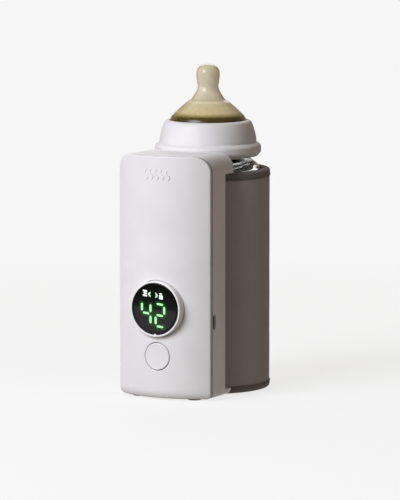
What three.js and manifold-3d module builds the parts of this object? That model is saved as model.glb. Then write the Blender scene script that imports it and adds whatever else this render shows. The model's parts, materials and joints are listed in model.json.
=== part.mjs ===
// Portable bottle warmer: a bowed control case carrying a padded heating sleeve,
// with a glass feeding bottle, its screw collar and its teat standing in the sleeve.
// Millimetres, +Z up, the display faces -Y. The origin is on the floor under the
// middle of the whole object.

import * as THREE from 'three';
import { mergeVertices } from 'three/addons/utils/BufferGeometryUtils.js';
import Module from 'manifold-3d';

const wasm = await Module();
wasm.setup();

// ---------------------------------------------------------------- driving dimensions

const GAP = 0.3; // air between pieces that lie against each other
const AXIS_Y = 15.5; // the bottle and the sleeve stand round this axis

const CASE = {
  halfWidth: 31.6,
  bottom: 1,
  top: 150,
  front: -51.5, // the front face at its middle
  bow: 10.4, // how far the front face falls back at its sides
  back: -21.3,
  inside: -25.4, // front face of the back wall
  wall: 2.2,
  topCorner: 9.5,
  bottomCorner: 3.5,
};
const CHANNEL_RADIUS = 38.8; // shallow hollow in the case's back for the sleeve
const LIP = { bottom: 137.8, back: -10.5, notchRadius: 34.5, wall: 2 };
const SHELF = { top: 5, back: -13.8 };

const DISPLAY = {
  z: 56.5,
  front: -54,
  seat: -52.2, // ledge in the bezel that the window rests on
  back: -44.2,
  ringRadius: 17.3,
  glassRadius: 15.9,
  boreRadius: 14.8,
};
const BUTTON = { z: 27, radius: 8.4, flangeRadius: 9.8 };
const SOCKET = { y: -35.9, z: 48.3, length: 8.9, thickness: 3.2 };
const BOARD = { front: -34.3, back: -32.7, bottom: 20, top: 66.5, left: -27, right: 27.6 };
const CELL = { radius: 9.2, length: 65, x: 9.7, y: -36, bottom: 74.5 };

const SLEEVE = { outer: 38.5, inner: 34.6, top: 137.5, binding: 5, base: 4 };
const LINER = { outer: 33.9, inner: 33.3 };
const FILM = { outer: 34.35, inner: 34.05, bottom: 12, top: 110 };

const BOTTLE = {
  radius: 32.7,
  glass: 2,
  bottom: 4.3,
  shoulder: 135.5,
  neckBottom: 143.6,
  neckRadius: 24.5,
  mouthRadius: 21.9,
  mouth: 161,
};
const THREAD = {
  pitch: 6,
  turns: 1.25,
  bottleCrest: 26.2,
  collarCrest: 25.1,
  rootWidth: 3.4,
  crestWidth: 2,
  start: 148.6, // height where the bottle's ridge begins
};
const COLLAR = { bottom: 143.8, top: 167.2, flange: 33, bore: 27, hole: 23.9, ceiling: 163.6 };
const TEAT = { flangeRadius: 26.3, flangeTop: 163.3, tip: 201.8 };

const ROUND_STEPS = 40; // facets round the sleeve, bottle and collar
const SMALL_STEPS = 14; // facets round screws, bosses and small holes

// ---------------------------------------------------------------- shape helpers

// Welds a geometry's seams and drops the empty triangles that a lathe leaves on its axis.
function welded(geometry) {
  const bare = geometry.clone();
  bare.deleteAttribute('normal');
  bare.deleteAttribute('uv');
  const merged = mergeVertices(bare, 1e-5);
  const index = merged.index.array;
  const kept = [];
  for (let i = 0; i < index.length; i += 3) {
    const [a, b, c] = [index[i], index[i + 1], index[i + 2]];
    if (a !== b && b !== c && c !== a) kept.push(a, b, c);
  }
  merged.setIndex(kept);
  return merged;
}

function toSolid(geometry) {
  const closed = welded(geometry);
  return new wasm.Manifold(
    new wasm.Mesh({
      numProp: 3,
      vertProperties: new Float32Array(closed.attributes.position.array),
      triVerts: new Uint32Array(closed.index.array),
    }),
  );
}

function toGeometry(solid) {
  const mesh = solid.getMesh();
  const geometry = new THREE.BufferGeometry();
  geometry.setAttribute('position', new THREE.BufferAttribute(mesh.vertProperties, 3));
  geometry.setIndex(new THREE.BufferAttribute(mesh.triVerts, 1));
  return geometry;
}

function box(x0, x1, y0, y1, z0, z1) {
  const geometry = new THREE.BoxGeometry(x1 - x0, y1 - y0, z1 - z0);
  geometry.translate((x0 + x1) / 2, (y0 + y1) / 2, (z0 + z1) / 2);
  return toSolid(geometry);
}

function rodX(radius, x0, x1, y, z) {
  const geometry = new THREE.CylinderGeometry(radius, radius, x1 - x0, SMALL_STEPS);
  geometry.rotateZ(Math.PI / 2);
  geometry.translate((x0 + x1) / 2, y, z);
  return toSolid(geometry);
}

function rodY(radius, y0, y1, x, z, steps = SMALL_STEPS) {
  const geometry = new THREE.CylinderGeometry(radius, radius, y1 - y0, steps);
  geometry.translate(x, (y0 + y1) / 2, z);
  return toSolid(geometry);
}

function rodZ(radius, z0, z1, x, y, steps = SMALL_STEPS) {
  const geometry = new THREE.CylinderGeometry(radius, radius, z1 - z0, steps);
  geometry.rotateX(Math.PI / 2);
  geometry.translate(x, y, (z0 + z1) / 2);
  return toSolid(geometry);
}

// A shape drawn in X and Z, run along Y.
function prismY(shape, y0, y1) {
  const settings = { depth: y1 - y0, bevelEnabled: false, curveSegments: 6 };
  const geometry = new THREE.ExtrudeGeometry(shape, settings);
  geometry.rotateX(Math.PI / 2);
  geometry.translate(0, y1, 0);
  return toSolid(geometry);
}

// A closed [radius, height] outline turned about the bottle's axis.
// Outlines run up their outer side and back down their inner side.
function turned(outline, steps = ROUND_STEPS) {
  const points = outline.map(([radius, height]) => new THREE.Vector2(radius, height));
  const geometry = new THREE.LatheGeometry(points, steps);
  geometry.rotateX(Math.PI / 2);
  geometry.translate(0, AXIS_Y, 0);
  return toSolid(geometry);
}

function ring(inner, outer, z0, z1) {
  return turned([[inner, z0], [outer, z0], [outer, z1], [inner, z1], [inner, z0]]);
}

// A closed [radius, y] outline turned about a line that runs straight back from the front face.
function turnedY(outline, x, z, steps = 32) {
  const points = outline.map(([radius, y]) => new THREE.Vector2(radius, y));
  const geometry = new THREE.LatheGeometry(points, steps);
  geometry.translate(x, 0, z);
  return toSolid(geometry);
}

// Points of a rounded corner on a [radius, height] outline, without its start point.
function corner(radius, height, size, fromDegrees, toDegrees, steps = 4) {
  const points = [];
  for (let i = 1; i <= steps; i += 1) {
    const angle = THREE.MathUtils.degToRad(THREE.MathUtils.lerp(fromDegrees, toDegrees, i / steps));
    points.push([radius + size * Math.cos(angle), height + size * Math.sin(angle)]);
  }
  return points;
}

// A smooth run of a [radius, height] outline through a few points.
function smoothRun(points, steps) {
  const curve = new THREE.SplineCurve(points.map(([radius, height]) => new THREE.Vector2(radius, height)));
  return curve.getPoints(steps).map((point) => [point.x, point.y]);
}

// A wire or tube that follows a smooth path.
function wire(radius, path) {
  const curve = new THREE.CatmullRomCurve3(path.map(([x, y, z]) => new THREE.Vector3(x, y, z)));
  const section = new THREE.Shape().absarc(0, 0, radius, 0, Math.PI * 2);
  const geometry = new THREE.ExtrudeGeometry(section, { steps: 14, curveSegments: 3, extrudePath: curve });
  return toSolid(geometry);
}

// A screw thread's ridge: a bar that tapers at its ends, bent round the bottle's axis
// and raised by one pitch in every turn.
function threadRidge({ root, crest, start }) {
  const { turns } = THREAD;
  const geometry = new THREE.BoxGeometry(1, 1, 1, Math.round(turns * 24), 1, 1);
  const position = geometry.attributes.position;
  const side = Math.sign(root - crest);
  for (let i = 0; i < position.count; i += 1) {
    const along = position.getX(i) + 0.5;
    const outward = position.getY(i) + 0.5;
    const taper = Math.min(1, Math.min(along, 1 - along) * turns * 8 + 0.15);
    const radius = THREE.MathUtils.lerp(root, root + (crest - root) * taper, outward);
    const width = THREE.MathUtils.lerp(THREAD.rootWidth, THREAD.crestWidth, outward);
    const angle = along * turns * Math.PI * 2;
    const height = start + along * turns * THREAD.pitch + side * position.getZ(i) * width;
    position.setXYZ(i, radius * Math.cos(angle), AXIS_Y + radius * Math.sin(angle), height);
  }
  return toSolid(geometry);
}

// ---------------------------------------------------------------- finished pieces

const group = new THREE.Group();
group.name = 'bottle_warmer';

const LOOKS = {
  whitePlastic: { color: 0xe6e5e8, roughness: 0.42, metalness: 0 },
  innerPlastic: { color: 0xcfcfcc, roughness: 0.55, metalness: 0 },
  darkPlastic: { color: 0x23262a, roughness: 0.5, metalness: 0 },
  blackGlass: { color: 0x0d1410, roughness: 0.08, metalness: 0 },
  silicone: { color: 0xb9bcc0, roughness: 0.7, metalness: 0 },
  fabric: { color: 0x9a918f, roughness: 0.95, metalness: 0 },
  darkFabric: { color: 0x6b6462, roughness: 0.95, metalness: 0 },
  lining: { color: 0x8f9395, roughness: 0.9, metalness: 0 },
  copperFilm: { color: 0xb8733a, roughness: 0.4, metalness: 0.6 },
  steel: { color: 0xb9bcc0, roughness: 0.3, metalness: 1 },
  nickel: { color: 0xc9c6bd, roughness: 0.35, metalness: 1 },
  circuitBoard: { color: 0x1d5a38, roughness: 0.45, metalness: 0 },
  cellWrap: { color: 0x2f6fb0, roughness: 0.4, metalness: 0 },
  wire: { color: 0xa32222, roughness: 0.5, metalness: 0 },
  blackWire: { color: 0x1b1b1b, roughness: 0.5, metalness: 0 },
  glass: { color: 0xdfe8e6, roughness: 0.05, metalness: 0 },
  teat: { color: 0xd9c690, roughness: 0.35, metalness: 0 },
};

function add(name, solid, look) {
  const mesh = new THREE.Mesh(toGeometry(solid), new THREE.MeshStandardMaterial(LOOKS[look]));
  mesh.name = name;
  group.add(mesh);
}

// ---------------------------------------------------------------- case outline

const BOW_RADIUS = (CASE.halfWidth ** 2 + CASE.bow ** 2) / (2 * CASE.bow);
const BOW_CENTRE_Y = CASE.front + BOW_RADIUS;

// The case seen from the front, drawn in X and Z and shrunk by `inset` all round.
function frontOutline(inset) {
  const x = CASE.halfWidth - inset;
  const bottom = CASE.bottom + inset;
  const top = CASE.top - inset;
  const upper = CASE.topCorner - inset;
  const lower = Math.max(CASE.bottomCorner - inset, 0.6);
  const shape = new THREE.Shape();
  shape.moveTo(-x + lower, bottom);
  shape.lineTo(x - lower, bottom);
  shape.absarc(x - lower, bottom + lower, lower, -Math.PI / 2, 0, false);
  shape.lineTo(x, top - upper);
  shape.absarc(x - upper, top - upper, upper, 0, Math.PI / 2, false);
  shape.lineTo(-x + upper, top);
  shape.absarc(-x + upper, top - upper, upper, Math.PI / 2, Math.PI, false);
  shape.lineTo(-x, bottom + lower);
  shape.absarc(-x + lower, bottom + lower, lower, Math.PI, Math.PI * 1.5, false);
  return shape;
}

// Everything behind the bowed face, `depth` below its surface.
function behindBow(depth) {
  return rodZ(BOW_RADIUS - depth, -5, CASE.top + 5, 0, BOW_CENTRE_Y, 108);
}

// The front face's Y at a distance `x` from the middle.
function bowY(x) {
  return BOW_CENTRE_Y - Math.sqrt(BOW_RADIUS ** 2 - x ** 2);
}

const FRONT_SPACE = -60; // safely in front of the case, for cuts that run out of it

// ---------------------------------------------------------------- case fixings

const SHELL_SCREWS = [
  { name: 'shell_screw_lower_left', x: -25, z: 14 },
  { name: 'shell_screw_lower_right', x: 25, z: 14 },
  { name: 'shell_screw_upper_left', x: -25, z: 128 },
  { name: 'shell_screw_upper_right', x: 25, z: 128 },
];
const CLAMP_SCREWS = [
  { name: 'clamp_screw_lower', z: 42 },
  { name: 'clamp_screw_upper', z: 56 },
];
const BOARD_SCREWS = [
  { name: 'board_screw_left', x: -22, z: 62 },
  { name: 'board_screw_right', x: 22, z: 27 },
];
const LEAD_EXIT_Z = 24; // where the heater lead passes through the sleeve and the case's back
const FOOT = { radius: 4.5, top: 2, x: 19, y: -38 };

// ---------------------------------------------------------------- front shell

function makeFrontShell() {
  let shell = prismY(frontOutline(0), FRONT_SPACE, CASE.back)
    .intersect(behindBow(0))
    .subtract(behindBow(CASE.wall));
  for (const { x, z } of SHELL_SCREWS) {
    const post = rodY(3, bowY(Math.abs(x)) + 1, CASE.inside - GAP, x, z).intersect(behindBow(0.6));
    shell = shell.add(post).subtract(rodY(1.5, CASE.inside - 10, CASE.inside, x, z));
  }
  return shell
    .subtract(rodY(DISPLAY.ringRadius + GAP, FRONT_SPACE, CASE.inside, 0, DISPLAY.z, 32))
    .subtract(rodY(BUTTON.radius + 0.35, FRONT_SPACE, CASE.inside, 0, BUTTON.z, 28));
}

// ---------------------------------------------------------------- rear shell

function makeRearShell() {
  const slice = (z0, z1) => box(-40, 40, -40, 0, z0, z1);
  const hollow = prismY(frontOutline(CASE.wall), FRONT_SPACE, CASE.inside);
  const sleeveCut = rodZ(CHANNEL_RADIUS, -5, LIP.bottom, 0, AXIS_Y, ROUND_STEPS);
  const notch = rodZ(LIP.notchRadius, LIP.bottom - 1, CASE.top + 5, 0, AXIS_Y, ROUND_STEPS);
  const lipHollow = prismY(frontOutline(CASE.wall), CASE.inside - 1, LIP.back - LIP.wall)
    .intersect(slice(LIP.bottom + LIP.wall, CASE.top))
    .subtract(rodZ(LIP.notchRadius + LIP.wall, 100, CASE.top + 5, 0, AXIS_Y, ROUND_STEPS));

  const outline = frontOutline(0);
  const lip = prismY(outline, CASE.back - 1, LIP.back).intersect(slice(LIP.bottom, CASE.top));
  const shelf = prismY(outline, CASE.back - 1, SHELF.back).intersect(slice(CASE.bottom, SHELF.top));

  let shell = prismY(outline, FRONT_SPACE, CASE.back)
    .subtract(hollow)
    .add(lip)
    .add(shelf)
    .subtract(lipHollow)
    .subtract(sleeveCut)
    .subtract(notch)
    .intersect(behindBow(CASE.wall + GAP));

  for (const { x, z } of SHELL_SCREWS) {
    shell = shell
      .subtract(rodY(3.1, CASE.back - 2.3, CASE.back + 1, x, z))
      .subtract(rodY(1.7, CASE.inside - 1, CASE.back, x, z));
  }
  for (const { z } of CLAMP_SCREWS) {
    shell = shell
      .add(rodY(3.2, CASE.inside - 5, CASE.inside + 0.5, 0, z))
      .subtract(rodY(1.4, CASE.inside - 4.6, CASE.back, 0, z));
  }
  for (const { x, z } of BOARD_SCREWS) {
    shell = shell
      .add(rodY(3, BOARD.back + GAP, CASE.inside + 0.5, x, z))
      .subtract(rodY(1.3, BOARD.back - 1, CASE.inside - 1, x, z));
  }
  for (const side of [-1, 1]) {
    shell = shell.subtract(rodZ(FOOT.radius + GAP / 2, 0, FOOT.top + GAP / 2, side * FOOT.x, FOOT.y));
  }
  return shell
    .subtract(rodY(2.6, CASE.inside - 1, CASE.back + 1, 0, LEAD_EXIT_Z))
    .subtract(socketOpening(CASE.halfWidth - 4, CASE.halfWidth + 2, 0.25));
}

// ---------------------------------------------------------------- feet

function addFeet() {
  add('foot_left', rodZ(FOOT.radius, 0, FOOT.top, -FOOT.x, FOOT.y), 'silicone');
  add('foot_right', rodZ(FOOT.radius, 0, FOOT.top, FOOT.x, FOOT.y), 'silicone');
}

// ---------------------------------------------------------------- display

function addDisplay() {
  const { z, front, seat, back, ringRadius, glassRadius, boreRadius } = DISPLAY;
  const flange = 2; // how far the bezel's back flange reaches past its tube
  const ring = turnedY(
    [
      [boreRadius, back],
      [boreRadius, seat],
      [glassRadius + 0.2, seat],
      [glassRadius + 0.2, front + 0.2],
      [glassRadius + 0.5, front],
      [ringRadius - 0.5, front],
      [ringRadius, front + 0.5],
      [ringRadius, back - 1.2],
      [ringRadius + flange, back - 1.2],
      [ringRadius + flange, back],
      [boreRadius, back],
    ],
    0,
    z,
  );
  const batterySide = box(-12, 12, back - 1.3, back + 1, z + ringRadius + GAP, z + 30);
  const tabZ = z - glassRadius - 0.1; // small index tab at the foot of the ring, let into the window
  const tab = rodY(0.75, front, seat + 0.2, 0, tabZ, 12);
  add('display_bezel', ring.subtract(batterySide).add(tab), 'whitePlastic');

  const glass = rodY(glassRadius, front + 0.25, seat - 0.1, 0, z, 32);
  add('display_window', glass.subtract(rodY(0.95, front, seat, 0, tabZ, 12)), 'blackGlass');
  add('display_module', rodY(boreRadius - GAP, seat + 0.2, back - 0.1, 0, z, 24), 'darkPlastic');
  add('display_board', rodY(17, back + GAP, back + 1.5, 0, z, 24), 'circuitBoard');
  add('display_header', box(-8, 8, back + 1.8, BOARD.front - GAP, z - 10, z - 7.5), 'darkPlastic');
}

// ---------------------------------------------------------------- power button

const BUTTON_FLANGE = -48; // front of the flange that keeps the button in the case
const PLUNGER = { front: -41.2, back: -37.9, radius: 1.7 };

function addPowerButton() {
  const face = rodY(BUTTON.radius, FRONT_SPACE, BUTTON_FLANGE + 0.4, 0, BUTTON.z, 28).intersect(behindBow(0));
  const flange = rodY(BUTTON.flangeRadius, BUTTON_FLANGE, BUTTON_FLANGE + 1.2, 0, BUTTON.z, 28);
  const stem = rodY(2.2, BUTTON_FLANGE + 1, PLUNGER.front - 0.2, 0, BUTTON.z);
  add('power_button', face.add(flange).add(stem), 'whitePlastic');

  const plunger = rodY(PLUNGER.radius, PLUNGER.front, PLUNGER.back, 0, BUTTON.z);
  const body = box(-3, 3, -38.8, BOARD.front - 0.1, BUTTON.z - 3, BUTTON.z + 3).subtract(
    rodY(PLUNGER.radius + 0.2, -39, -36.6, 0, BUTTON.z),
  );
  add('switch_plunger', plunger, 'darkPlastic');
  add('tact_switch', body, 'steel');
}

// ---------------------------------------------------------------- main board and charging socket

// A slot with round ends, standing upright in the case's right side wall.
function socketOpening(x0, x1, margin) {
  const half = SOCKET.thickness / 2 + margin;
  const reach = SOCKET.length / 2 - SOCKET.thickness / 2;
  return rodX(half, x0, x1, SOCKET.y, SOCKET.z - reach)
    .add(rodX(half, x0, x1, SOCKET.y, SOCKET.z + reach))
    .add(box(x0, x1, SOCKET.y - half, SOCKET.y + half, SOCKET.z - reach, SOCKET.z + reach));
}

function addMainBoard() {
  let board = box(BOARD.left, BOARD.right, BOARD.front, BOARD.back, BOARD.bottom, BOARD.top);
  for (const { name, x, z } of BOARD_SCREWS) {
    board = board.subtract(rodY(1.6, BOARD.front - 1, BOARD.back + 1, x, z));
    const head = rodY(2.5, BOARD.front - 1.9, BOARD.front - 0.2, x, z);
    add(name, head.add(rodY(1.1, BOARD.front - 1, BOARD.back + 5, x, z)), 'steel');
  }
  add('main_board', board, 'circuitBoard');

  const mouth = CASE.halfWidth - 0.6;
  const shell = socketOpening(mouth - 7.3, mouth, 0).subtract(socketOpening(mouth - 6.2, mouth + 1, -0.35));
  const { y, z } = SOCKET;
  const tongue = box(mouth - 6.6, mouth - 0.8, y - 0.35, y + 0.35, z - 3.2, z + 3.2);
  add('usb_c_socket', shell.add(tongue), 'steel');

  add('controller_chip', box(-17, -10, BOARD.front - 1.6, BOARD.front - 0.1, 36, 43), 'darkPlastic');
  add('battery_connector', box(-6, 4, BOARD.back + 0.1, BOARD.back + 4, 61, 65), 'innerPlastic');
  add('heater_connector', box(-4, 4, BOARD.back + 0.1, BOARD.back + 3.4, 30, 34), 'innerPlastic');
}

// ---------------------------------------------------------------- battery

function addBattery() {
  const { radius, length, x, y, bottom } = CELL;
  const top = bottom + length;
  let tray = box(-20.5, 20.5, y, CASE.inside - GAP, bottom - 2.6, top + 2.6);
  for (const side of [-1, 1]) {
    tray = tray.subtract(rodZ(radius + 0.25, bottom - 0.8, top + 0.8, side * x, y, 24));
    const name = side < 0 ? 'battery_cell_left' : 'battery_cell_right';
    add(name, rodZ(radius, bottom, top, side * x, y, 24), 'cellWrap');
  }
  add('battery_tray', tray, 'innerPlastic');

  const strip = (x0, x1, z0) => box(x0, x1, y - 4, y + 4, z0, z0 + 0.3);
  const trayRelief = box(-1.6, 1.6, y, y + 5, top, top + 1);
  add('battery_strip_top', strip(-x - 4, x + 4, top + 0.2).subtract(trayRelief), 'nickel');
  add('battery_strip_left', strip(-x - 4, -x + 4, bottom - 0.5), 'nickel');
  add('battery_strip_right', strip(x - 4, x + 4, bottom - 0.5), 'nickel');
}

function addBatteryLeads() {
  const plug = BOARD.back + 4.5;
  const lead = (side) => {
    const x = side * 2;
    const tab = side * (CELL.x - 1);
    return wire(0.6, [
      [tab, CELL.y - 2.5, CELL.bottom - 1.4],
      [tab, CELL.y - 1, CELL.bottom - 3],
      [side * 6, CELL.y + 4, CELL.bottom - 4],
      [x - 1, plug + 0.9, CELL.bottom - 5.5],
      [x - 1, plug + 0.9, 63],
    ]);
  };
  add('battery_lead_negative', lead(-1), 'blackWire');
  add('battery_lead_positive', lead(1), 'wire');
}

// ---------------------------------------------------------------- shell screws

function addShellScrews() {
  for (const { name, x, z } of SHELL_SCREWS) {
    const head = rodY(2.7, CASE.back - 2, CASE.back - 0.3, x, z);
    const shaft = rodY(1.3, CASE.back - 12, CASE.back - 1, x, z);
    add(name, head.add(shaft), 'steel');
  }
}

// ---------------------------------------------------------------- heating sleeve

const SENSOR = { x: 8.5, y: -19 }; // temperature bead, let into the padding
const CLAMP = { inner: 34.8, outer: 36.4, bottom: 34, top: 64, halfWidth: 10 };

// The part of a ring that faces the case, `halfWidth` each side of the middle.
function frontStrip(inner, outer, z0, z1, halfWidth) {
  return ring(inner, outer, z0, z1).intersect(box(-halfWidth, halfWidth, -40, AXIS_Y, z0, z1));
}

function addSleeve() {
  const { outer, inner, top, binding, base } = SLEEVE;
  const lead = rodY(1.9, -26, -18, 0, LEAD_EXIT_Z);
  const clampPocket = frontStrip(
    inner - 0.2, CLAMP.outer + 0.2, CLAMP.bottom - 0.3, CLAMP.top + 0.3, CLAMP.halfWidth + 0.3,
  );
  const sensorPocket = rodZ(1.1, 19, 28, SENSOR.x, SENSOR.y);
  let padding = ring(inner, outer, base + 0.8, top - binding - GAP)
    .subtract(clampPocket)
    .subtract(sensorPocket)
    .subtract(lead);
  let plate = frontStrip(CLAMP.inner, CLAMP.outer, CLAMP.bottom, CLAMP.top, CLAMP.halfWidth);
  for (const { name, z } of CLAMP_SCREWS) {
    const plateFace = AXIS_Y - CLAMP.inner;
    padding = padding.subtract(rodY(1.6, -26, -18, 0, z));
    plate = plate.subtract(rodY(1.6, -26, -18, 0, z)).subtract(rodY(3, plateFace - 1, plateFace + 1, 0, z));
    const head = rodY(2.7, plateFace - 0.8, plateFace + 0.05, 0, z);
    add(name, head.add(rodY(1.2, CASE.inside - 4.2, plateFace - 0.5, 0, z)), 'steel');
  }
  add('sleeve_padding', padding, 'fabric');
  add('sleeve_clamp_plate', plate, 'innerPlastic');
  add('temperature_sensor', rodZ(0.8, 20, 27, SENSOR.x, SENSOR.y), 'darkPlastic');

  const liningTop = top - binding - GAP;
  add('sleeve_lining', ring(LINER.inner, LINER.outer, base + 0.4, liningTop), 'lining');
  add('heating_film', ring(FILM.inner, FILM.outer, FILM.bottom, FILM.top), 'copperFilm');

  const rim = turned([
    [LINER.inner, top - binding],
    [outer, top - binding],
    [outer, top - 2],
    ...corner(outer - 2, top - 2, 2, 0, 90),
    [LINER.inner + 1, top],
    ...corner(LINER.inner + 1, top - 1, 1, 90, 180, 2),
    [LINER.inner, top - binding],
  ]);
  add('sleeve_top_binding', rim, 'darkFabric');

  const foot = turned([
    [inner - 0.4, 0.8],
    [outer - 2, 0.8],
    ...corner(outer - 2, 2.8, 2, -90, 0),
    [outer, base + 0.5],
    [inner - 0.4, base + 0.5],
    [inner - 0.4, 0.8],
  ]);
  add('sleeve_bottom_binding', foot, 'darkFabric');
  add('sleeve_base', turned([[0, 1.3], [inner - 0.7, 1.3], [inner - 0.7, base], [0, base]]), 'darkFabric');
  add('base_pad', turned([[0, 0], [29, 0], [30, 1], [0, 1]]), 'silicone');
}

function addHeaterLead() {
  const lead = wire(1.4, [
    [0, AXIS_Y - FILM.outer - 0.4, LEAD_EXIT_Z],
    [0, -23, LEAD_EXIT_Z],
    [0, -26, LEAD_EXIT_Z + 0.6],
    [0, -27, LEAD_EXIT_Z + 4],
    [0, -27.2, 33],
  ]);
  add('heater_lead', lead, 'blackWire');
}

// ---------------------------------------------------------------- bottle, collar and teat

function addBottle() {
  const { radius, glass, bottom, shoulder, neckBottom, neckRadius, mouthRadius, mouth } = BOTTLE;
  const inside = radius - glass;
  const outerShoulder = smoothRun(
    [
      [radius, shoulder],
      [radius - 1.4, shoulder + 3.4],
      [neckRadius + 2.8, neckBottom - 1.6],
      [neckRadius, neckBottom],
    ],
    6,
  );
  const innerShoulder = smoothRun(
    [
      [mouthRadius, neckBottom - 1.5],
      [neckRadius - 0.5, neckBottom - 4.2],
      [inside - 1.6, shoulder + 1],
      [inside, shoulder - 2.5],
    ],
    4,
  );
  const glassware = turned([
    [0, bottom],
    [radius - 3, bottom],
    ...corner(radius - 3, bottom + 3, 3, -90, 0, 3),
    ...outerShoulder,
    [neckRadius, mouth - 0.8],
    [neckRadius - 0.8, mouth],
    [mouthRadius + 0.6, mouth],
    [mouthRadius, mouth - 0.6],
    ...innerShoulder,
    [inside, bottom + 6],
    ...corner(inside - 3, bottom + 6, 3, 0, -90, 2),
    [0, bottom + 3],
  ]);
  const ridge = threadRidge({
    root: neckRadius - 0.3,
    crest: THREAD.bottleCrest,
    start: THREAD.start,
  });
  add('bottle', glassware.add(ridge), 'glass');
}

function addCollar() {
  const { bottom, top, flange, bore, hole, ceiling } = COLLAR;
  const skirt = smoothRun(
    [
      [flange - 1, bottom],
      [flange - 0.1, bottom + 2],
      [flange, bottom + 4.2],
      [flange - 0.4, bottom + 6.6],
      [flange - 2.3, bottom + 8.2],
    ],
    8,
  );
  const dome = smoothRun(
    [
      [flange - 2.8, bottom + 9.2],
      [flange - 3.1, bottom + 12.5],
      [flange - 4, bottom + 17],
      [flange - 5.6, top - 2.3],
      [flange - 7.6, top],
    ],
    8,
  );
  const body = turned([
    [bore, bottom],
    ...skirt,
    ...dome,
    [hole + 0.4, top],
    [hole, top - 0.4],
    [hole, ceiling],
    [bore, ceiling],
    [bore, bottom],
  ]);
  const ridge = threadRidge({
    root: bore + 0.3,
    crest: THREAD.collarCrest,
    start: THREAD.start - THREAD.pitch / 2,
  });
  add('collar', body.add(ridge), 'whitePlastic');
}

function addTeat() {
  const { flangeRadius, flangeTop, tip } = TEAT;
  const seat = BOTTLE.mouth + GAP;
  const throat = COLLAR.hole - GAP;
  const inner = throat - 1.8;
  const cone = smoothRun(
    [
      [throat, flangeTop + 2],
      [throat - 0.2, tip - 35.2],
      [21.7, tip - 31.4],
      [17.6, tip - 27.3],
      [13.2, tip - 23.6],
      [10.4, tip - 22.2],
      [9.2, tip - 20.4],
    ],
    10,
  );
  const nipple = smoothRun(
    [
      [7.6, tip - 17.4],
      [6.45, tip - 14],
      [6.9, tip - 9.6],
      [7.3, tip - 5.6],
      [6.3, tip - 2],
      [3.4, tip - 0.3],
      [0.5, tip],
    ],
    10,
  );
  const innerNipple = smoothRun(
    [
      [0.5, tip - 1.3],
      [3, tip - 1.9],
      [5.4, tip - 3.6],
      [5.9, tip - 6],
      [5.1, tip - 13.8],
      [6.6, tip - 19],
    ],
    5,
  );
  const innerCone = smoothRun(
    [
      [9.6, tip - 23],
      [12, tip - 24.9],
      [16.4, tip - 28.8],
      [20.3, tip - 32.6],
      [inner, tip - 36],
    ],
    4,
  );
  const profile = [
    [inner, seat],
    [flangeRadius, seat],
    [flangeRadius, flangeTop],
    [throat, flangeTop],
    ...cone,
    ...nipple,
    ...innerNipple,
    ...innerCone,
    [inner, seat],
  ];
  add('teat', turned(profile, 32), 'teat');
}

// ---------------------------------------------------------------- assembly

add('front_shell', makeFrontShell(), 'whitePlastic');
add('rear_shell', makeRearShell(), 'whitePlastic');
addFeet();
addDisplay();
addPowerButton();
addMainBoard();
addBattery();
addBatteryLeads();
addShellScrews();
addSleeve();
addHeaterLead();
addBottle();
addCollar();
addTeat();

export default group;
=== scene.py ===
"""Portable bottle warmer with its feeding bottle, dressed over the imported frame.

Shapes are worked out in millimetres in the row frame (+Z up, the display faces -Y) and become
metres when their mesh is made.
"""

import json
import math
from contextlib import contextmanager

import bmesh
import bpy
import numpy as np
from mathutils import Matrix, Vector
from mathutils.geometry import delaunay_2d_cdt


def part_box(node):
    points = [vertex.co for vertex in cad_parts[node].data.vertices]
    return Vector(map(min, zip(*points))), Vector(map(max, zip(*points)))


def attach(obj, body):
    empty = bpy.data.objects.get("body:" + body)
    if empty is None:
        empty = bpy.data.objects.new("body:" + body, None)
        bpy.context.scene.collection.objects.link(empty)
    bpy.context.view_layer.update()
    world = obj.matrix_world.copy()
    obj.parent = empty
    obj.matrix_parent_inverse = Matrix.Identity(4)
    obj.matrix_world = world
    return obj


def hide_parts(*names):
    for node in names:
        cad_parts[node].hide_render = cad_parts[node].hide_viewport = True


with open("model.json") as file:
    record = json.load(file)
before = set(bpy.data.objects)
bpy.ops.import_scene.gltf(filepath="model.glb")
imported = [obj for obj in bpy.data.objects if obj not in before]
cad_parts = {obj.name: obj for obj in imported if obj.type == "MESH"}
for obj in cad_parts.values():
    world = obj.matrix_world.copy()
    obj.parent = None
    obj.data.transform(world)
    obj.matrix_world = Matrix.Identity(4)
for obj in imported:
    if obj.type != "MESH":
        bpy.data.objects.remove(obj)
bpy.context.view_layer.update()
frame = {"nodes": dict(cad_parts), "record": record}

# ---- dimensions from the frame


def box_mm(node):
    low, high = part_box(node)
    return np.array(low) * 1000, np.array(high) * 1000


case_low, case_high = box_mm("front_shell")
HALF_WIDTH = case_high[0]
CASE_BOTTOM, CASE_TOP = case_low[2], case_high[2]
FRONT_Y = case_low[1]
BOW = 10.4  # how far the front face falls back at its sides
BOW_RADIUS = (HALF_WIDTH**2 + BOW**2) / (2 * BOW)
ROLL_HEIGHT, ROLL_DEPTH = 5.0, 3.0  # the face curves under along its foot
TOP_CORNER, BOTTOM_CORNER = 9.5, 3.5
PANEL = 2.6  # thickness of the front panel
EDGE, STEP = 1.7, 0.9  # its edge is this thick; behind that it steps in, and a dark strip of painted shade fills the step
SEAM = 0.3  # space between the front panel and the rear shell
WALL = 2.2
CASE_BACK_Y, CASE_INSIDE_Y = -21.3, -25.4  # outer and inner face of the rear wall
LIP_BACK_Y = box_mm("rear_shell")[1][1]
LIP_BOTTOM, LIP_NOTCH = 137.8, 34.5  # the lip over the sleeve's rim, notched to this radius
SHELF_TOP, SHELF_BACK_Y = 5.0, -13.8  # the shelf under the sleeve
CHANNEL_RADIUS = 38.8  # of the hollow that the sleeve stands in
SHELL_SCREWS = ("lower_left", "lower_right", "upper_left", "upper_right")
CORNERS = ((-1, -1), (1, -1), (1, 1), (-1, 1))

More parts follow.
